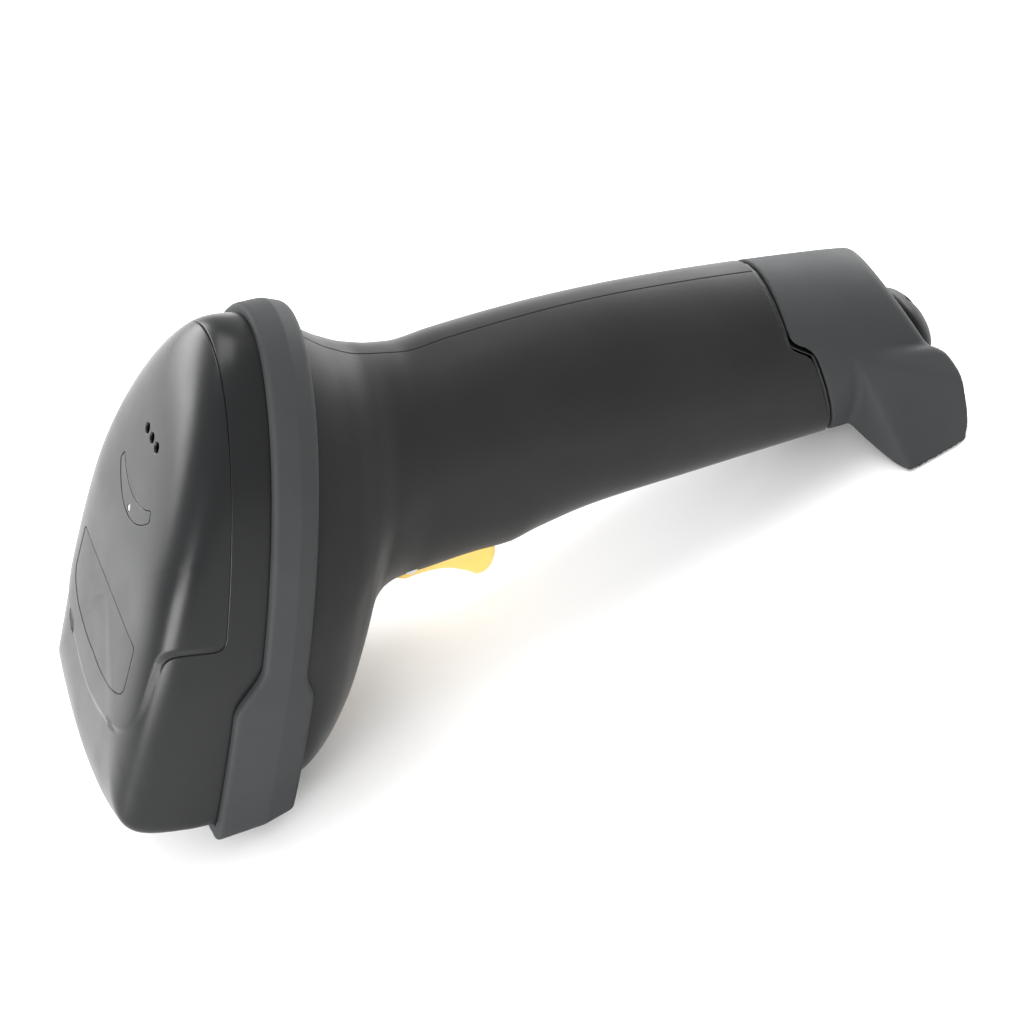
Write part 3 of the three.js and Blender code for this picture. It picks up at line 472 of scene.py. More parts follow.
def nose_share(z):
    """How far a point of the head belongs to the nose, from 0 to 1."""
    return 1 - smoothstep(*NOSE_FADE, z)


def bumper_upper(z):
    """How far up the bumper reaches from its ridge; more at the nose."""
    return mix(BUMPER_UPPER_NOSE, BUMPER_UPPER, smoothstep(*BUMPER_UPPER_FADE, z))


def bumper_lower(z):
    """How far down the bumper reaches from its ridge; more at the nose."""
    return mix(BUMPER_LOWER_NOSE, BUMPER_LOWER, smoothstep(*BUMPER_LOWER_FADE, z))


# -------------------- the dome
# the height of the dome's middle line over the ridge, by z
DOME_TOP = cubic((-12, 30.3), (-4, 30.5), (10, 29.6), (20, 28.6), (30, 27.4), (40, 26.1), (50, 24.8),
                 (60, 23), (70, 21), (78, 19.4), (86, 17.6), (95, 15))
DOME_RINGS = 112


def dome_angles():
    """Steps round the dome's shoulder, from its centre to its foot, that are even along the surface."""
    fine = np.concatenate([[0], np.geomspace(1e-8, 1, 4000)]) * pi / 2
    across = DOME_REACH * np.sin(fine) ** (2 / DOME_POWER)
    up = DOME_HEIGHT * np.cos(fine) ** (2 / DOME_POWER)
    length = np.concatenate([[0], np.cumsum(np.hypot(np.diff(across), np.diff(up)))])
    return np.interp(np.linspace(0, length[-1], DOME_RINGS + 1), length, fine)


def dome_skin():
    """The dome's skin, from a square grid of points that is pulled round to the head's outline."""
    base = head_outline(DOME_EDGE)
    around = np.arctan2(base[:, 0], base[:, 1] - DOME_CENTRE)
    order = np.argsort(around)
    around, base = around[order], base[order]
    reach = np.arange(-DOME_RINGS - 1, DOME_RINGS + 2)
    i, j = np.meshgrid(reach, reach, indexing="ij")
    ring = np.maximum(abs(i), abs(j))
    wide = abs(i) >= abs(j)
    big, small = np.where(wide, i, j), np.where(wide, j, i)
    turn = pi / 4 * small / np.where(big == 0, 1, big)
    direction = np.where(wide, turn, pi / 2 - turn) + np.where(big < 0, pi, 0)
    direction = (direction + pi) % (2 * pi) - pi
    base_y = np.interp(direction, around, base[:, 0], period=2 * pi)
    base_z = np.interp(direction, around, base[:, 1], period=2 * pi)
    nose = 1 - smoothstep(*DOME_NOSE_FADE, base_z)
    rear = smoothstep(*DOME_REAR_FADE, base_z)
    power = DOME_POWER + DOME_POWER_CHANGE * (nose - rear)
    angle = dome_angles()[np.minimum(ring, DOME_RINGS)]
    out, up = np.sin(angle) ** (2 / power), np.maximum(np.cos(angle), 0) ** (2 / power)
    y, z = base_y * out, mix(DOME_CENTRE, base_z, out)
    x = -mix(DOME_BASE, DOME_TOP(z), np.where(ring >= DOME_RINGS, 0, up))
    x = np.where(ring > DOME_RINGS, -DOME_HEM, x)
    lean = NOSE_LEAN + NOSE_LEAN_MIDDLE * (1 - (y / HEAD_CORNER_Y) ** 2)
    z = z - nose * out * lean * np.minimum(-x, NOSE_LEAN_TOP)
    rows = np.stack([x, y, z], -1)
    centre = np.array([0, 0, DOME_CENTRE])
    skin = grid_skin(rows, False, lambda p: p - centre)
    rise = crown_rise(skin.points)
    slope = slope_of(crown_rise, skin.points, rise)
    slope -= skin.normals * (slope * skin.normals).sum(axis=1)[:, None]
    normals = skin.normals - slope
    normals /= np.linalg.norm(normals, axis=1)[:, None]
    return Skin(skin.points + rise[:, None] * skin.normals, normals, skin.faces)


def crown_rise(points):
    """How far the crown stands out of the dome: a soft step that fades out down the side walls."""
    step = smoothstep(0, PANEL_RAMP, depth_in(plan(points), crown_outline()))
    return PANEL_RISE * step * smoothstep(-PANEL_EDGE_X, PANEL_STEP_TOP, -points[:, 0])


def plan(points):
    """Where points lie when the dome is seen from above."""
    return points[:, 1:]


def both_sides(half):
    """A closed outline from its right half, which runs from the rear to the middle of the front."""
    return np.concatenate([half, half[-2::-1] * (-1, 1)])


def crown_outline():
    """The crown panel's plan: wide over the side walls, with a shallow bow in front."""
    return both_sides(np.concatenate([
        [(40, 110), (40, 44.5)], arc((30.5, 43), (27.2, 42), (27, 38), 8),
        arc((26.7, 30), (26, 19.8), (19.5, 16.6), 10),
        arc((19.5, 16.6), (10, 11.6), (0, 11), 12), [(0, 11)],
    ]))


def panel_field(points):
    """How deep a point of the dome lies inside the crown panel's border."""
    depth = depth_in(plan(points), crown_outline())
    return rounded_min(PANEL_EDGE_X - points[:, 0], depth, PANEL_CORNER)


def seam_share(points):
    """Where the crown panel's border is a groove: on the side walls and behind, but not in front."""
    return smoothstep(*SEAM_FADE, points[:, 2])


def crescent_field(points):
    """How deep a point lies inside the status light's band, which has blunt rounded horns."""
    (outer, outer_z), (inner, inner_z) = LED_OUTER, LED_INNER
    outline = np.concatenate([
        arc((0, LED_HIGH), (inner / 2, LED_HIGH), (inner - 0.6, inner_z - 0.5)),
        arc((inner - 0.6, inner_z - 0.5), (inner + 0.1, inner_z + 0.3), (inner + 0.5, inner_z - 1.1), 6),
        arc((inner + 0.5, inner_z - 1.1), (outer + 0.3, outer_z + 0.2), (outer - 0.5, outer_z - 0.4), 6),
        arc((outer - 0.5, outer_z - 0.4), (outer / 2, LED_LOW), (0, LED_LOW)), [(0, LED_LOW)],
    ])
    return depth_in(plan(points), both_sides(outline)[:-1])


def light_dot_field(points):
    """Distance out of the small clear dot that the LED shines through."""
    return np.hypot(points[:, 1], points[:, 2] - LED_DOT_Z) - LED_DOT_RADIUS


def badge_field(points):
    """How deep a point lies inside the badge: straight behind and at the sides, bowed in front."""
    half, corner = BADGE_HALF, BADGE_CORNER
    low, bottom = BADGE_SIDE - 0.8 * corner, (BADGE_SIDE + BADGE_BOW) / 2
    outline = np.concatenate([
        arc((half - corner / 2, BADGE_TOP), (half, BADGE_TOP), (half, BADGE_TOP - corner / 2), 6),
        arc((half, BADGE_SIDE + corner), (half, BADGE_SIDE), (half - corner, low), 8),
        arc((half - corner, low), (half / 2, (low + BADGE_BOW) / 2 - 0.2), (0, bottom), 20),
        [(0, bottom)],
    ])
    return depth_in(plan(points), both_sides(outline))


def beeper_field(points):
    """Distance out of the nearest beeper hole."""
    holes = [np.hypot(points[:, 1] - i * BEEPER_PITCH, points[:, 2] - BEEPER_Z) for i in (-1, 0, 1)]
    return np.minimum.reduce(holes) - BEEPER_HOLE


def light_field(points):
    """Distance out of the LED's light hole."""
    return np.hypot(points[:, 1], points[:, 2] - LED_PIPE_Z) - LED_PIPE_HOLE


def dome_bumper_field(points):
    """How far up the dome a point is from the bumper's upper edge."""
    return -points[:, 0] - bumper_upper(points[:, 2])


def make_dome(skin, looks):
    """The cover, with a floor under the crown panel, and what is set into the crown."""
    border = (lambda p: -panel_field(p), 0, BORDER_ROUNDING, seam_share)
    cover = carve(skin, [(dome_bumper_field, -DOME_LAP, 0), border], DOME_WALL)
    under = carve(skin, [(panel_field, -PANEL_LAP, 0), (beeper_field, 0, 0), (light_field, 0, 0)],
                  DOME_WALL, rise=-PANEL_FLOOR)
    panel_cuts = [
        (panel_field, 0, BORDER_ROUNDING, seam_share),
        (lambda p: -crescent_field(p), SEAM_GAP, SEAM_ROUNDING),
        (lambda p: -badge_field(p), SEAM_GAP, BORDER_ROUNDING),
        (beeper_field, 0, 0.3),
    ]
    panel = carve(skin, panel_cuts, PANEL_WALL)
    badge = carve(skin, [(badge_field, SEAM_GAP, BORDER_ROUNDING)], BADGE_WALL, rise=-SEAM_GAP)
    lens_cuts = [(crescent_field, SEAM_GAP, SEAM_ROUNDING), (light_dot_field, 0, 0.15)]
    lens = carve(skin, lens_cuts, PANEL_WALL, rise=-SEAM_GAP)
    dot = carve(skin, [(lambda p: -light_dot_field(p), 0.03, 0.1)], PANEL_WALL, rise=-0.1)
    piece("top_cover_shell", joined(cover, under), "scanner", ["top_cover"], looks["cover"])
    piece("crown_panel_shell", panel, "scanner", ["crown_panel"], looks["cover"])
    piece("badge_plate_blank", badge, "scanner", ["badge_plate"], looks["badge"])
    piece("led_lens_crescent", lens, "scanner", ["led_lens"], looks["lens"])
    piece("led_lens_light_dot", dot, "scanner", ["led_lens"], looks["clear"])


# -------------------- the housing halves
HOUSING_START, HOUSING_END = 0.15, 150
HOUSING_STEP, QUARTER_POINTS = 0.55, 60  # the grid's step along the skin, and its points to a quarter
# by x: z of the handle's back, front and widest line, its half width, and how full its section is
BACK = cubic((0, 93.6), (4, 92), (11.4, 88.2), (17.5, 86.5), (25.6, 86.3), (35, 88.9), (45, 91.6),
             (57, 94.4), (69.5, 96.6), (86.5, 98.7), (100, 99.9), (112, 100.7), (123, 101.2), (150, 101))
FRONT = cubic((0, -4.8), (4, -3.6), (8, -2.2), (13, 1), (17, 4.6), (18.9, 10.5), (19.5, 20), (21, 28.6),
              (24.4, 33.6), (34, 36.2), (44, 39), (51, 40.4), (57, 43.8), (68, 49), (89, 55.2),
              (116, 62.4), (150, 71))
WIDTH = cubic((0, 30.8), (4, 30.5), (8, 29.8), (12.4, 27.8), (16.6, 24.4), (22.2, 19.6), (32, 17.8),
              (60, 17.8), (80, 18), (100, 17.8), (120, 17.4), (150, 16.6))
WAIST = cubic((0, 30), (4, 32), (10, 40), (18, 54), (25, 63), (35, 68), (60, 74), (90, 79), (120, 84),
              (150, 87))
BACK_DEPTH = 0.55
BACK_ROUND = cubic((0, 0.55), (10, 0.5), (25, 0.47), (150, 0.47))
FRONT_ROUND = cubic((0, 0.9), (10, 0.9), (17, 0.84), (21, 0.68), (30, 0.62), (60, 0.6), (150, 0.6))
FRONT_DEPTH = cubic((0, 0.85), (10, 0.82), (20, 0.7), (30, 0.55), (150, 0.55))


def half_section(x, count):
    """The right half of the housing's section at each x, from its back to its front."""
    x = np.asarray(x, float)[:, None]
    back, front, half, waist = BACK(x), FRONT(x), WIDTH(x), WAIST(x)
    t = np.linspace(0, 1, count, endpoint=False)[None]
    rear_y = bezier(0, BACK_ROUND(x) * half, half, half, t)
    rear_z = bezier(back, back, mix(waist, back, BACK_DEPTH), waist, t)
    t = np.linspace(0, 1, count + 1)[None]
    fore_y = bezier(half, half, FRONT_ROUND(x) * half, 0, t)
    fore_z = bezier(waist, mix(waist, front, FRONT_DEPTH(x)), front, front, t)
    return np.concatenate([rear_y, fore_y], 1), np.concatenate([rear_z, fore_z], 1)


def housing_skin():
    """The skin of the head's underside and the handle, with the chin flattened off."""
    fine = np.linspace(HOUSING_START, HOUSING_END, 6000)
    travel = [np.diff(fine), 0.6 * np.diff(FRONT(fine)), np.diff(BACK(fine)), np.diff(WIDTH(fine))]
    length = np.concatenate([[0], np.cumsum(np.linalg.norm(travel, axis=0))])
    x = np.interp(np.arange(0, length[-1], HOUSING_STEP), length, fine)
    y, z = half_section(x, QUARTER_POINTS)
    y = np.concatenate([y, -y[:, -2:0:-1]], 1)
    z = np.concatenate([z, z[:, -2:0:-1]], 1)
    rows = np.stack([np.broadcast_to(x[:, None], y.shape), y, z], -1)
    over = height(rows.reshape(-1, 3)).reshape(y.shape)
    lift = rounded_max(over, CHIN_HEIGHT, 0.8) - over
    lift = np.where(x[:, None] < CHIN_END, lift, 0)
    rows = rows + lift[..., None] * UP
    return grid_skin(rows, True, lambda p: p - np.stack([p[:, 0], 0 * p[:, 1], WAIST(p[:, 0])], -1))


def side_view(points):
    """Where points lie when the scanner is seen from its side."""
    return points[:, [0, 2]]


def beyond_cap_line(points):
    """Distance past the line where the end cap meets the handle; negative on the handle's side."""
    outline = np.array([*CAP_LINE, (220, 50), (220, 110)], float)
    return depth_in(side_view(points), outline)


def slot_field(points):
    """Distance out of the trigger's slot in the handle's front."""
    x, y, z = points.T
    ends = np.maximum(SLOT_START - x, x - SLOT_END)
    return np.where(z < 55, rounded_max(ends, abs(y) - SLOT_HALF, 1.6), FAR)


def contact_field(points):
    """Distance out of the charging contacts' recess in the chin."""
    x, z = points[:, 0] - CONTACT_X, points[:, 2] - CONTACT_Z
    up = x * -sin(CONTACT_ANGLE) + z * cos(CONTACT_ANGLE)
    out = rounded_max(abs(points[:, 1]) - CONTACT_HALF, abs(up) - CONTACT_LENGTH, 1.2)
    return np.where((points[:, 2] < 32) & (points[:, 0] > 12), out, FAR)


def screw_field(points):
    """Distance out of the nearest screw hole, on the right half only."""
    holes = [np.hypot(points[:, 0] - x, points[:, 2] - z) for x, z in SCREWS]
    return np.where(points[:, 1] > 0, np.minimum.reduce(holes) - SCREW_HOLE, FAR)


def screw_sleeve(x, z):
    """The tube that a screw head sits in, from its seat to just under the housing's skin."""
    top = sleeve_top(x, z)

    def field(points):
        radius = np.hypot(points[:, 0] - x, points[:, 2] - z)
        y = points[:, 1]
        ends = rounded_max(y - top, SCREW_SEAT - 1.6 - y, 0.3)
        tube = rounded_max(radius - SCREW_HOLE - SLEEVE_WALL, ends, 0.4)
        well = rounded_max(radius - SCREW_HOLE, SCREW_SEAT - 0.4 - y, 0.3)
        return rounded_max(tube, -np.minimum(well, radius - SCREW_SHANK_HOLE), 0.3)

    reach = SCREW_HOLE + SLEEVE_WALL + 1
    low, high = (x - reach, SCREW_SEAT - 3, z - reach), (x + reach, top + 1, z + reach)
    return surface(field, low, high, pitch=0.3)


def sleeve_top(x, z):
    """How far out the housing's skin is round a screw hole, less its wall."""
    y, rim = half_section([x], QUARTER_POINTS)
    near = abs(rim[0] - z) < SCREW_HOLE + SLEEVE_WALL
    return y[0][near].min() - 0.9 * WALL


def make_housing(skin, looks):
    """The two halves; only the right one has screw holes, each with a sleeve inside."""
    for name, side in (("left", -1), ("right", 1)):
        cuts = [
            (lambda p, s=side: s * p[:, 1], SEAM_GAP, SEAM_ROUNDING),
            (lambda p: p[:, 0] - bumper_lower(p[:, 2]), -HOUSING_LAP, 0),
            (lambda p: -beyond_cap_line(p), GAP / 2, 0.3),
            (slot_field, 0, 1.2),
            (contact_field, 0, 0.6),
            (screw_field, 0, 0.6),
        ]
        mesh = carve(skin, cuts if side > 0 else cuts[:-1], WALL)
        if side > 0:
            mesh = joined(mesh, *[screw_sleeve(x, z) for x, z in SCREWS])
        piece(f"{name}_housing_shell", mesh, "scanner", [f"{name}_housing"], looks["housing"])


# -------------------- the bumper


def outline_depth():
    """A quick reader for how deep a [y, z] point lies inside the bumper's ridge."""
    step = 0.5
    y, z = np.arange(-36, 36.1, step), np.arange(-16, 102, step)
    grid = np.stack(np.meshgrid(y, z, indexing="ij"), -1)
    table = depth_in(grid.reshape(-1, 2), head_outline(0)).reshape(grid.shape[:2])
    return lookup(table, (y[0], z[0]), (step, step))


def bumper_field(depth):
    """Distance out of the bumper: a ridged band round the head, cut by the scan window's mouth."""
    def field(points):
        x, y, z = points.T
        straight = z
        for _ in range(3):
            straight = z - nose_share(straight) * x * BUMPER_LEAN
        inset = depth(y, straight)
        upper, lower = bumper_upper(straight), bumper_lower(straight)
        level = np.where(x < 0, -x / upper, x / lower)
        edge = BUMPER_FACET * level - inset
        ends = rounded_max(-x - upper, x - lower, 0.4)
        band = rounded_max(rounded_max(edge, ends, BUMPER_EDGE), inset - BUMPER_THICK, 0.4)
        middle, half = (MOUTH_TOP + MOUTH_BOTTOM) / 2, (MOUTH_BOTTOM - MOUTH_TOP) / 2
        mouth = rounded_max(abs(y) - MOUTH_HALF, abs(x - middle) - half, MOUTH_CORNER)
        mouth = np.maximum(mouth, z - MOUTH_DEPTH)
        band = rounded_max(band, -mouth, 0.9)
        return rounded_max(band, FLOOR_MARGIN - height(points), 0.4)
    return field


def make_bumper(looks):
    mesh = surface(bumper_field(outline_depth()), (-13, -34, -14), (8, 34, 99), pitch=0.5)
    piece("bumper_ring", mesh, "scanner", ["bumper"], looks["rubber"])


# -------------------- the trigger


def trigger_outline():
    """The trigger's side view: a finger hollow in front and a round back about the pivot."""
    turn = np.radians(np.linspace(50, 190, 16))
    px, pz = TRIGGER_PIVOT
    back = np.stack([px + TRIGGER_BACK * np.cos(turn), pz + TRIGGER_BACK * np.sin(turn)], 1)
    return np.concatenate([
        arc((26.4, 39.6), (27.8, 37), (31.5, 36.6)), arc((31.5, 36.6), (36, 38.6), (40.5, 38.2)),
        arc((40.5, 38.2), (44.4, 37.4), (46.6, 35.9)), arc((46.6, 35.9), (50.6, 36), (50.4, 41.4)),
        [(50.4, 41.4), (49.6, 45.2), (33.4, 46)], back,
    ])


def box_field(points, low, high):
    """Distance out of a box with square corners."""
    out = np.maximum(np.array(low) - points, points - np.array(high))
    return out.max(axis=1)


def trigger_field(points):
    """Distance out of the trigger, with its pin's hole and room for the spring and the plunger."""
    x, y, z = points.T
    side = -depth_in(side_view(points), trigger_outline())
    body = rounded_max(side + 0.05, abs(y) - TRIGGER_HALF, 1.9)
    pin = np.hypot(x - TRIGGER_PIVOT[0], z - TRIGGER_PIVOT[1]) - TRIGGER_PIN - GAP
    pocket = box_field(points, (34.5, 2 - TRIGGER_HALF, 41), (42, TRIGGER_HALF - 2, 60))
    spring_room = box_field(points, (20, -3, 39.4), (33.9, 3, 60))
    return rounded_max(body, -np.minimum.reduce([pin, pocket, spring_room]), 0.4)


def make_trigger(looks):
    mesh = surface(trigger_field, (24.5, -10, 34), (52.5, 10, 48), pitch=0.36)
    piece("trigger_lever", mesh, "trigger", ["trigger"], looks["trigger"])


# -------------------- the end cap and its lock
# the end face's direction outward, and the one down along it
END_NORMAL = np.array([cos(END_ANGLE), 0, sin(END_ANGLE)])
END_DOWN = np.array([sin(END_ANGLE), 0, -cos(END_ANGLE)])


def handle_field():
    """Distance out of the handle's skin, read from a table of its radius by x and direction."""
    step = 0.5
    x = np.arange(90, HOUSING_END + 0.1, step)
    turns = np.linspace(0, pi, 241)
    y, z = half_section(x, 80)
    rows = []
    for yy, zz, waist in zip(y, z, WAIST(x)):
        rows.append(np.interp(turns, np.arctan2(yy, zz - waist), np.hypot(yy, zz - waist)))
    radius = np.array(rows)
    read = lookup(radius, (x[0], 0), (step, turns[1]))
    slope = np.gradient(radius, turns[1], axis=1) / radius
    read_slope = lookup(1 / np.sqrt(1 + slope ** 2), (x[0], 0), (step, turns[1]))

    def field(points):
        along, y, z = points.T
        z = z - WAIST(along)
        turn = np.arctan2(abs(y), z)
        return (np.hypot(y, z) - read(along, turn)) * read_slope(along, turn)
    return field


# corners of the right foot, before its edges are rounded
FOOT = [(115.4, 16, 89.2), (118.2, 16, 83.5), (120.9, 15, 76), (121, 13, 70), (131, 14, 90),
        (137, 12, 82), (134.5, 18.6, 91), (136.7, 22, 89.2), (137.6, 25, 86.8), (139.5, 28.4, 78.5),
        (139, 30, 71), (135.9, 30.7, 67.6), (130.4, 30.5, 65.6), (128.2, 29.6, 68.2), (124.8, 25.2, 70)]


def hull_planes(corners):
    """The planes round a convex solid, as (normal, offset)."""
    work = bmesh.new()
    for corner in corners:
        work.verts.new(corner)
    bmesh.ops.convex_hull(work, input=work.verts)
    planes = []
    centre = Vector(np.mean(corners, axis=0))
    for face in work.faces:
        normal = face.normal if face.normal.dot(face.verts[0].co - centre) > 0 else -face.normal
        plane = (*normal, normal.dot(face.verts[0].co))
        if not any(np.allclose(plane, other, atol=0.02) for other in planes):
            planes.append(plane)
    work.free()
    return np.array(planes)


def cap_field():
    """Distance out of the end cap: a hollow piece of the handle with two feet and the lock's hole."""
    skin = handle_field()
    planes = hull_planes(FOOT)

    def field(points):
        body = skin(points)
        over = height(points)
        end = points @ END_NORMAL - END_OFFSET
        line = -beyond_cap_line(points) + GAP + SEAL
        solid = rounded_max(body, end, 1.4)
        solid = rounded_max(solid, CAP_FLOOR - over, 1.2)
        mirrored = points * (1, 0, 1) + abs(points[:, 1:2]) * (0, 1, 0)
        foot = mirrored @ planes[0, :3] - planes[0, 3]
        for plane in planes[1:]:
            foot = rounded_max(foot, mirrored @ plane[:3] - plane[3], 0.9)
        solid = rounded_max(rounded_min(solid, foot, 1.2), line, 0.5)
        solid = rounded_max(solid, FLOOR_MARGIN - over, 0.4)
        hollow = np.maximum.reduce([body + WALL, end + END_WALL, CAP_FLOOR + CAP_FLOOR_WALL - over])
        hole = np.hypot(points @ END_DOWN - LOCK_ALONG, points[:, 1]) - LOCK_SHANK - GAP
        return rounded_max(solid, -np.minimum(hollow, hole), 0.4)
    return field


def lock_field(points):
    """Distance out of the lock's knob: a low dome with a coin slot, on a shank."""
    out = points @ END_NORMAL - END_OFFSET
    down = points @ END_DOWN - LOCK_ALONG
    radius = np.hypot(down, points[:, 1])
    edge = radians(72)  # how far the knob's arc turns down from its middle to its edge
    round_ = np.sqrt(np.maximum(1 - (np.minimum(radius / LOCK_RADIUS, 1) * sin(edge)) ** 2, 0))
    top = GAP + 1 + (LOCK_HEIGHT - 1) * (round_ - cos(edge)) / (1 - cos(edge))
    dome = rounded_max(rounded_max(radius - LOCK_RADIUS, (out - top) * 0.8, 0.8), GAP - out, 0.3)
    coin_slot = rounded_max(abs(down) - COIN_SLOT_LENGTH, abs(points[:, 1]) - COIN_SLOT_HALF, 0.6)
    coin_slot = rounded_max(coin_slot, LOCK_HEIGHT - COIN_SLOT_DEPTH - out, 0.3)
    dome = rounded_max(dome, -coin_slot, 0.4)
    shank = rounded_max(rounded_max(radius - LOCK_SHANK, out - 1.5, 0.3), -LOCK_REACH - out, 0.5)
    return rounded_min(dome, shank, 0.3)


def make_cap(looks):
    mesh = surface(cap_field(), (94, -32, 60), (147, 32, 106), pitch=0.6)
    piece("end_cap_moulding", mesh, "cap", ["end_cap"], looks["rubber"])
    centre = END_NORMAL * END_OFFSET + END_DOWN * LOCK_ALONG
    low, high = centre - (13, 10, 13), centre + (11, 10, 11)
    mesh = surface(lock_field, low, high, pitch=0.33)
    piece("cap_lock_knob", mesh, "lock", ["cap_lock"], looks["black"])


# -------------------- the housing screws


def make_screws(looks):
    """Pan head screws with a cross recess, one to each sleeve."""
    def field_at(x, z):
        def field(points):
            dx, up, dz = points[:, 0] - x, points[:, 1] - SCREW_SEAT, points[:, 2] - z
            radius = np.hypot(dx, dz)
            top = up - SCREW_HEAD_HEIGHT + 0.06 * radius ** 2
            head = rounded_max(rounded_max(radius - SCREW_HEAD, top, 0.7), -up, 0.2)
            cross = np.minimum(rounded_max(abs(dx) - CROSS_WIDTH, abs(dz) - CROSS_LENGTH, 0.3),
                               rounded_max(abs(dz) - CROSS_WIDTH, abs(dx) - CROSS_LENGTH, 0.3))
            head = rounded_max(head, -np.maximum(cross, CROSS_FLOOR - up), 0.15)
            shank = rounded_max(rounded_max(radius - SCREW_SHANK, up - 1, 0.2), -SCREW_LENGTH - up, 0.6)
            return np.minimum(head, shank)
        return field

    for number, (x, z) in enumerate(SCREWS, start=1):
        reach = SCREW_HEAD + 0.6
        low = (x - reach, SCREW_SEAT - SCREW_LENGTH - 0.6, z - reach)
        high = (x + reach, SCREW_SEAT + 3, z + reach)
        mesh = surface(field_at(x, z), low, high, pitch=0.22)
        node = f"housing_screw_{number}"
        piece(f"{node}_cross_head", mesh, "scanner", [node], looks["metal"])


# -------------------- materials


class Look:
    """A procedural material: a Principled shader whose colour, roughness and bump come from noise."""

    def __init__(self, name):
        self.material = bpy.data.materials.new(name)
        self.material.use_nodes = True
        self.nodes = self.material.node_tree.nodes
        self.links = self.material.node_tree.links
        self.shader = self.nodes["Principled BSDF"]
        self.place = self.nodes.new("ShaderNodeTexCoord")

    def set(self, **values):
        for name, value in values.items():
            self.shader.inputs[name.replace("_", " ")].default_value = value
        return self

    def noise(self, scale, detail, stretch=(1, 1, 1)):
        mapping = self.nodes.new("ShaderNodeMapping")
        mapping.inputs["Scale"].default_value = stretch
        node = self.nodes.new("ShaderNodeTexNoise")
        node.inputs["Scale"].default_value = scale
        node.inputs["Detail"].default_value = detail
        node.inputs["Roughness"].default_value = 0.55
        self.links.new(self.place.outputs["Object"], mapping.inputs["Vector"])
        self.links.new(mapping.outputs["Vector"], node.inputs["Vector"])
        return node.outputs["Fac"]

    def colour(self, low, high, scale):
        source = self.noise(scale, 3)
        node = self.nodes.new("ShaderNodeValToRGB")
        for element, position, colour in zip(node.color_ramp.elements, (0.35, 0.65), (low, high)):
            element.position = position
            element.color = (*colour, 1)
        self.links.new(source, node.inputs["Fac"])
        self.links.new(node.outputs["Color"], self.shader.inputs["Base Color"])
        return self

    def roughness(self, low, high, scale):
        node = self.nodes.new("ShaderNodeMapRange")
        for name, value in (("From Min", 0.3), ("From Max", 0.7), ("To Min", low), ("To Max", high)):
            node.inputs[name].default_value = value
        self.links.new(self.noise(scale, 2), node.inputs["Value"])
        self.links.new(node.outputs["Result"], self.shader.inputs["Roughness"])
        return self

    def bump(self, *layers):
        """Layers of (scale, detail, depth in metres, stretch), each added on top of the one before."""
        normal = None
        for scale, detail, depth, stretch in layers:
            node = self.nodes.new("ShaderNodeBump")
            node.inputs["Strength"].default_value = 1
            node.inputs["Distance"].default_value = depth
            self.links.new(self.noise(scale, detail, stretch), node.inputs["Height"])
            if normal:
                self.links.new(normal, node.inputs["Normal"])
            normal = node.outputs["Normal"]
        self.links.new(normal, self.shader.inputs["Normal"])
        return self


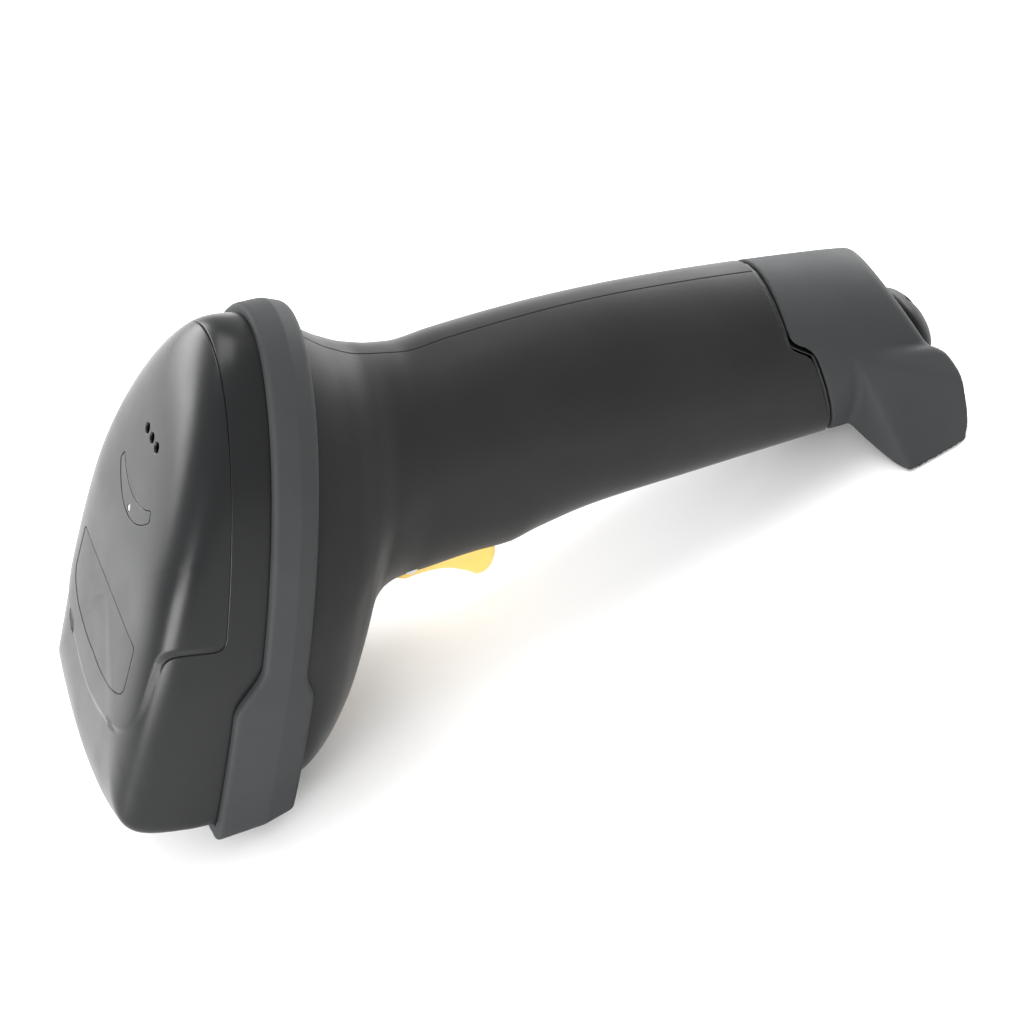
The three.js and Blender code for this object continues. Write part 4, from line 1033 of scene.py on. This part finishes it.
def make_looks():
    """The materials, one to each slot, as colours, a noise scale, roughness and grain."""
    looks = {}
    even = (1, 1, 1)

    def add(name, low, high, scale, rough, grain, **values):
        look = Look(name).colour(low, high, scale).roughness(*rough).bump(*grain).set(**values)
        looks[name] = look.material

    add("housing", (0.0105, 0.0105, 0.0106), (0.0135, 0.0135, 0.0136), 38, (0.5, 0.58, 70),
        [(2600, 2, 0.00002, even), (14, 1, 0.00006, even)], Specular_IOR_Level=0.16, Sheen_Weight=0.2,
        Sheen_Roughness=0.3)
    add("cover", (0.006, 0.0064, 0.007), (0.0075, 0.008, 0.0086), 30, (0.27, 0.34, 90),
        [(3200, 2, 0.000006, even), (18, 1, 0.00004, even)], Specular_IOR_Level=0.22)
    add("badge", (0.006, 0.0063, 0.0068), (0.0075, 0.0079, 0.0084), 40, (0.26, 0.32, 120),
        [(2400, 2, 0.000004, even), (1200, 1, 0.000004, (1, 14, 1))], Specular_IOR_Level=0.18)
    add("rubber", (0.031, 0.0328, 0.0338), (0.0358, 0.0375, 0.0385), 45, (0.6, 0.7, 60),
        [(2000, 3, 0.000022, even), (22, 1, 0.00005, even)], Specular_IOR_Level=0.15)
    add("black", (0.004, 0.004, 0.0043), (0.007, 0.007, 0.0073), 60, (0.4, 0.5, 120),
        [(2200, 2, 0.00001, even)], Specular_IOR_Level=0.12)
    add("lens", (0.007, 0.0075, 0.008), (0.009, 0.0096, 0.0102), 80, (0.2, 0.27, 200),
        [(60, 1, 0.00002, even)], Specular_IOR_Level=0.2)
    add("trigger", (0.83, 0.55, 0.13), (0.88, 0.6, 0.16), 60, (0.32, 0.42, 150),
        [(1800, 2, 0.000012, even)], Subsurface_Weight=0.12, Subsurface_Radius=(0.003, 0.002, 0.001))
    add("window", (0.06, 0.002, 0.004), (0.09, 0.004, 0.006), 30, (0.03, 0.07, 90),
        [(20, 1, 0.00001, even)], Transmission_Weight=0.6, IOR=1.49, Coat_Weight=0.3,
        Coat_Roughness=0.04)
    add("metal", (0.5, 0.51, 0.52), (0.62, 0.63, 0.64), 300, (0.22, 0.38, 400),
        [(900, 2, 0.000008, (1, 8, 1))], Metallic=1.0)
    add("board", (0.008, 0.07, 0.03), (0.012, 0.11, 0.045), 500, (0.25, 0.4, 300),
        [(700, 3, 0.00003, even)], Coat_Weight=0.3)
    add("gold", (0.7, 0.46, 0.14), (0.83, 0.58, 0.22), 600, (0.18, 0.3, 500),
        [(900, 2, 0.000006, even)], Metallic=1.0)
    add("wrap", (0.02, 0.07, 0.24), (0.03, 0.1, 0.3), 120, (0.25, 0.34, 150),
        [(90, 2, 0.00006, (1, 3, 1))], Coat_Weight=0.4)
    add("amber", (0.42, 0.16, 0.02), (0.52, 0.22, 0.03), 200, (0.3, 0.42, 200),
        [(800, 2, 0.00001, (6, 1, 1))], Coat_Weight=0.2)
    add("clear", (0.8, 0.84, 0.86), (0.88, 0.91, 0.93), 200, (0.08, 0.16, 300),
        [(300, 2, 0.00001, even)], Transmission_Weight=0.7, IOR=1.5)
    add("seal", (0.004, 0.004, 0.0045), (0.008, 0.008, 0.0085), 200, (0.55, 0.7, 300),
        [(1500, 2, 0.00002, even)])
    return looks


def dress_cad_nodes(looks):
    """Every CAD node that stays gets the procedural material of its slot."""
    slots = {part["node"]: part["material_slot"] for part in frame["record"]["subparts"]}
    for name, obj in frame["nodes"].items():
        look = looks[slots[name]]
        for place in obj.material_slots:
            place.material = look
        if not obj.material_slots:
            obj.data.materials.append(look)


# -------------------- the studio and the camera
CAMERA_EYE = np.array([-130.25, -341.72, 319.93])
CAMERA_AHEAD = np.array([0.39126, 0.71709, -0.5768])
CAMERA_UP = np.array([0.09125, 0.59345, 0.79968])
CAMERA_LENS = 82.22  # on a 36 mm sensor


def make_camera():
    data = bpy.data.cameras.new("camera")
    data.lens = CAMERA_LENS
    data.sensor_width = 36
    data.clip_start = 0.01
    camera = bpy.data.objects.new("camera", data)
    back, up = TO_ROW @ -CAMERA_AHEAD, TO_ROW @ CAMERA_UP
    across = np.cross(up, back)
    turn = Matrix([list(axis) for axis in (across, up, back)]).transposed()
    camera.matrix_world = Matrix.Translation(Vector(in_row(CAMERA_EYE))) @ turn.to_4x4()
    bpy.context.scene.collection.objects.link(camera)
    bpy.context.scene.camera = camera


def make_softbox(name, place, target, size, power):
    """A rectangular light at a place in metres, turned to a target."""
    data = bpy.data.lights.new(name, "AREA")
    data.shape = "RECTANGLE"
    data.size, data.size_y = size
    data.energy = power
    light = bpy.data.objects.new(name, data)
    light.location = place
    light.rotation_euler = (Vector(target) - Vector(place)).to_track_quat("-Z", "Y").to_euler()
    bpy.context.scene.collection.objects.link(light)


def make_studio():
    """A wide sheet of white paper, even white light and four softboxes."""
    low, high = (Vector(c) for c in CAD_BOX)
    middle = (low + high) / 2
    data = bpy.data.meshes.new("floor")
    reach = 4.0
    corners = [(-reach, -reach, 0), (reach, -reach, 0), (reach, reach, 0), (-reach, reach, 0)]
    data.from_pydata(corners, [], [(0, 1, 2, 3)])
    floor = bpy.data.objects.new("floor", data)
    floor.location.z = low.z - 0.0002
    bpy.context.scene.collection.objects.link(floor)
    look = Look("floor_paper").colour((0.9, 0.9, 0.9), (0.93, 0.93, 0.93), 3).roughness(0.85, 0.95, 6)
    look.bump((300, 2, 0.00002, (1, 1, 1)))
    data.materials.append(look.material)
    world = bpy.data.worlds.new("studio")
    world.use_nodes = True
    world.node_tree.nodes["Background"].inputs["Color"].default_value = (1, 1, 1, 1)
    world.node_tree.nodes["Background"].inputs["Strength"].default_value = 1.0
    bpy.context.scene.world = world
    make_softbox("top_softbox", (0.1, 0.25, 0.9), middle, (0.8, 0.5), 8)
    make_softbox("back_softbox", (-0.6, 0.9, 0.35), middle, (0.9, 0.35), 9)
    make_softbox("nose_softbox", (-0.5, -0.3, 0.12), (-0.08, 0, 0.03), (0.3, 0.2), 3.5)
    make_softbox("floor_softbox", (0.45, 0.3, 0.12), (0.02, 0.08, 0), (0.5, 0.2), 4)
    bpy.context.scene.view_settings.view_transform = "Standard"


looks = make_looks()
dress_cad_nodes(looks)
make_dome(dome_skin(), looks)
make_housing(housing_skin(), looks)
make_bumper(looks)
make_trigger(looks)
make_cap(looks)
make_screws(looks)
make_studio()
make_camera()
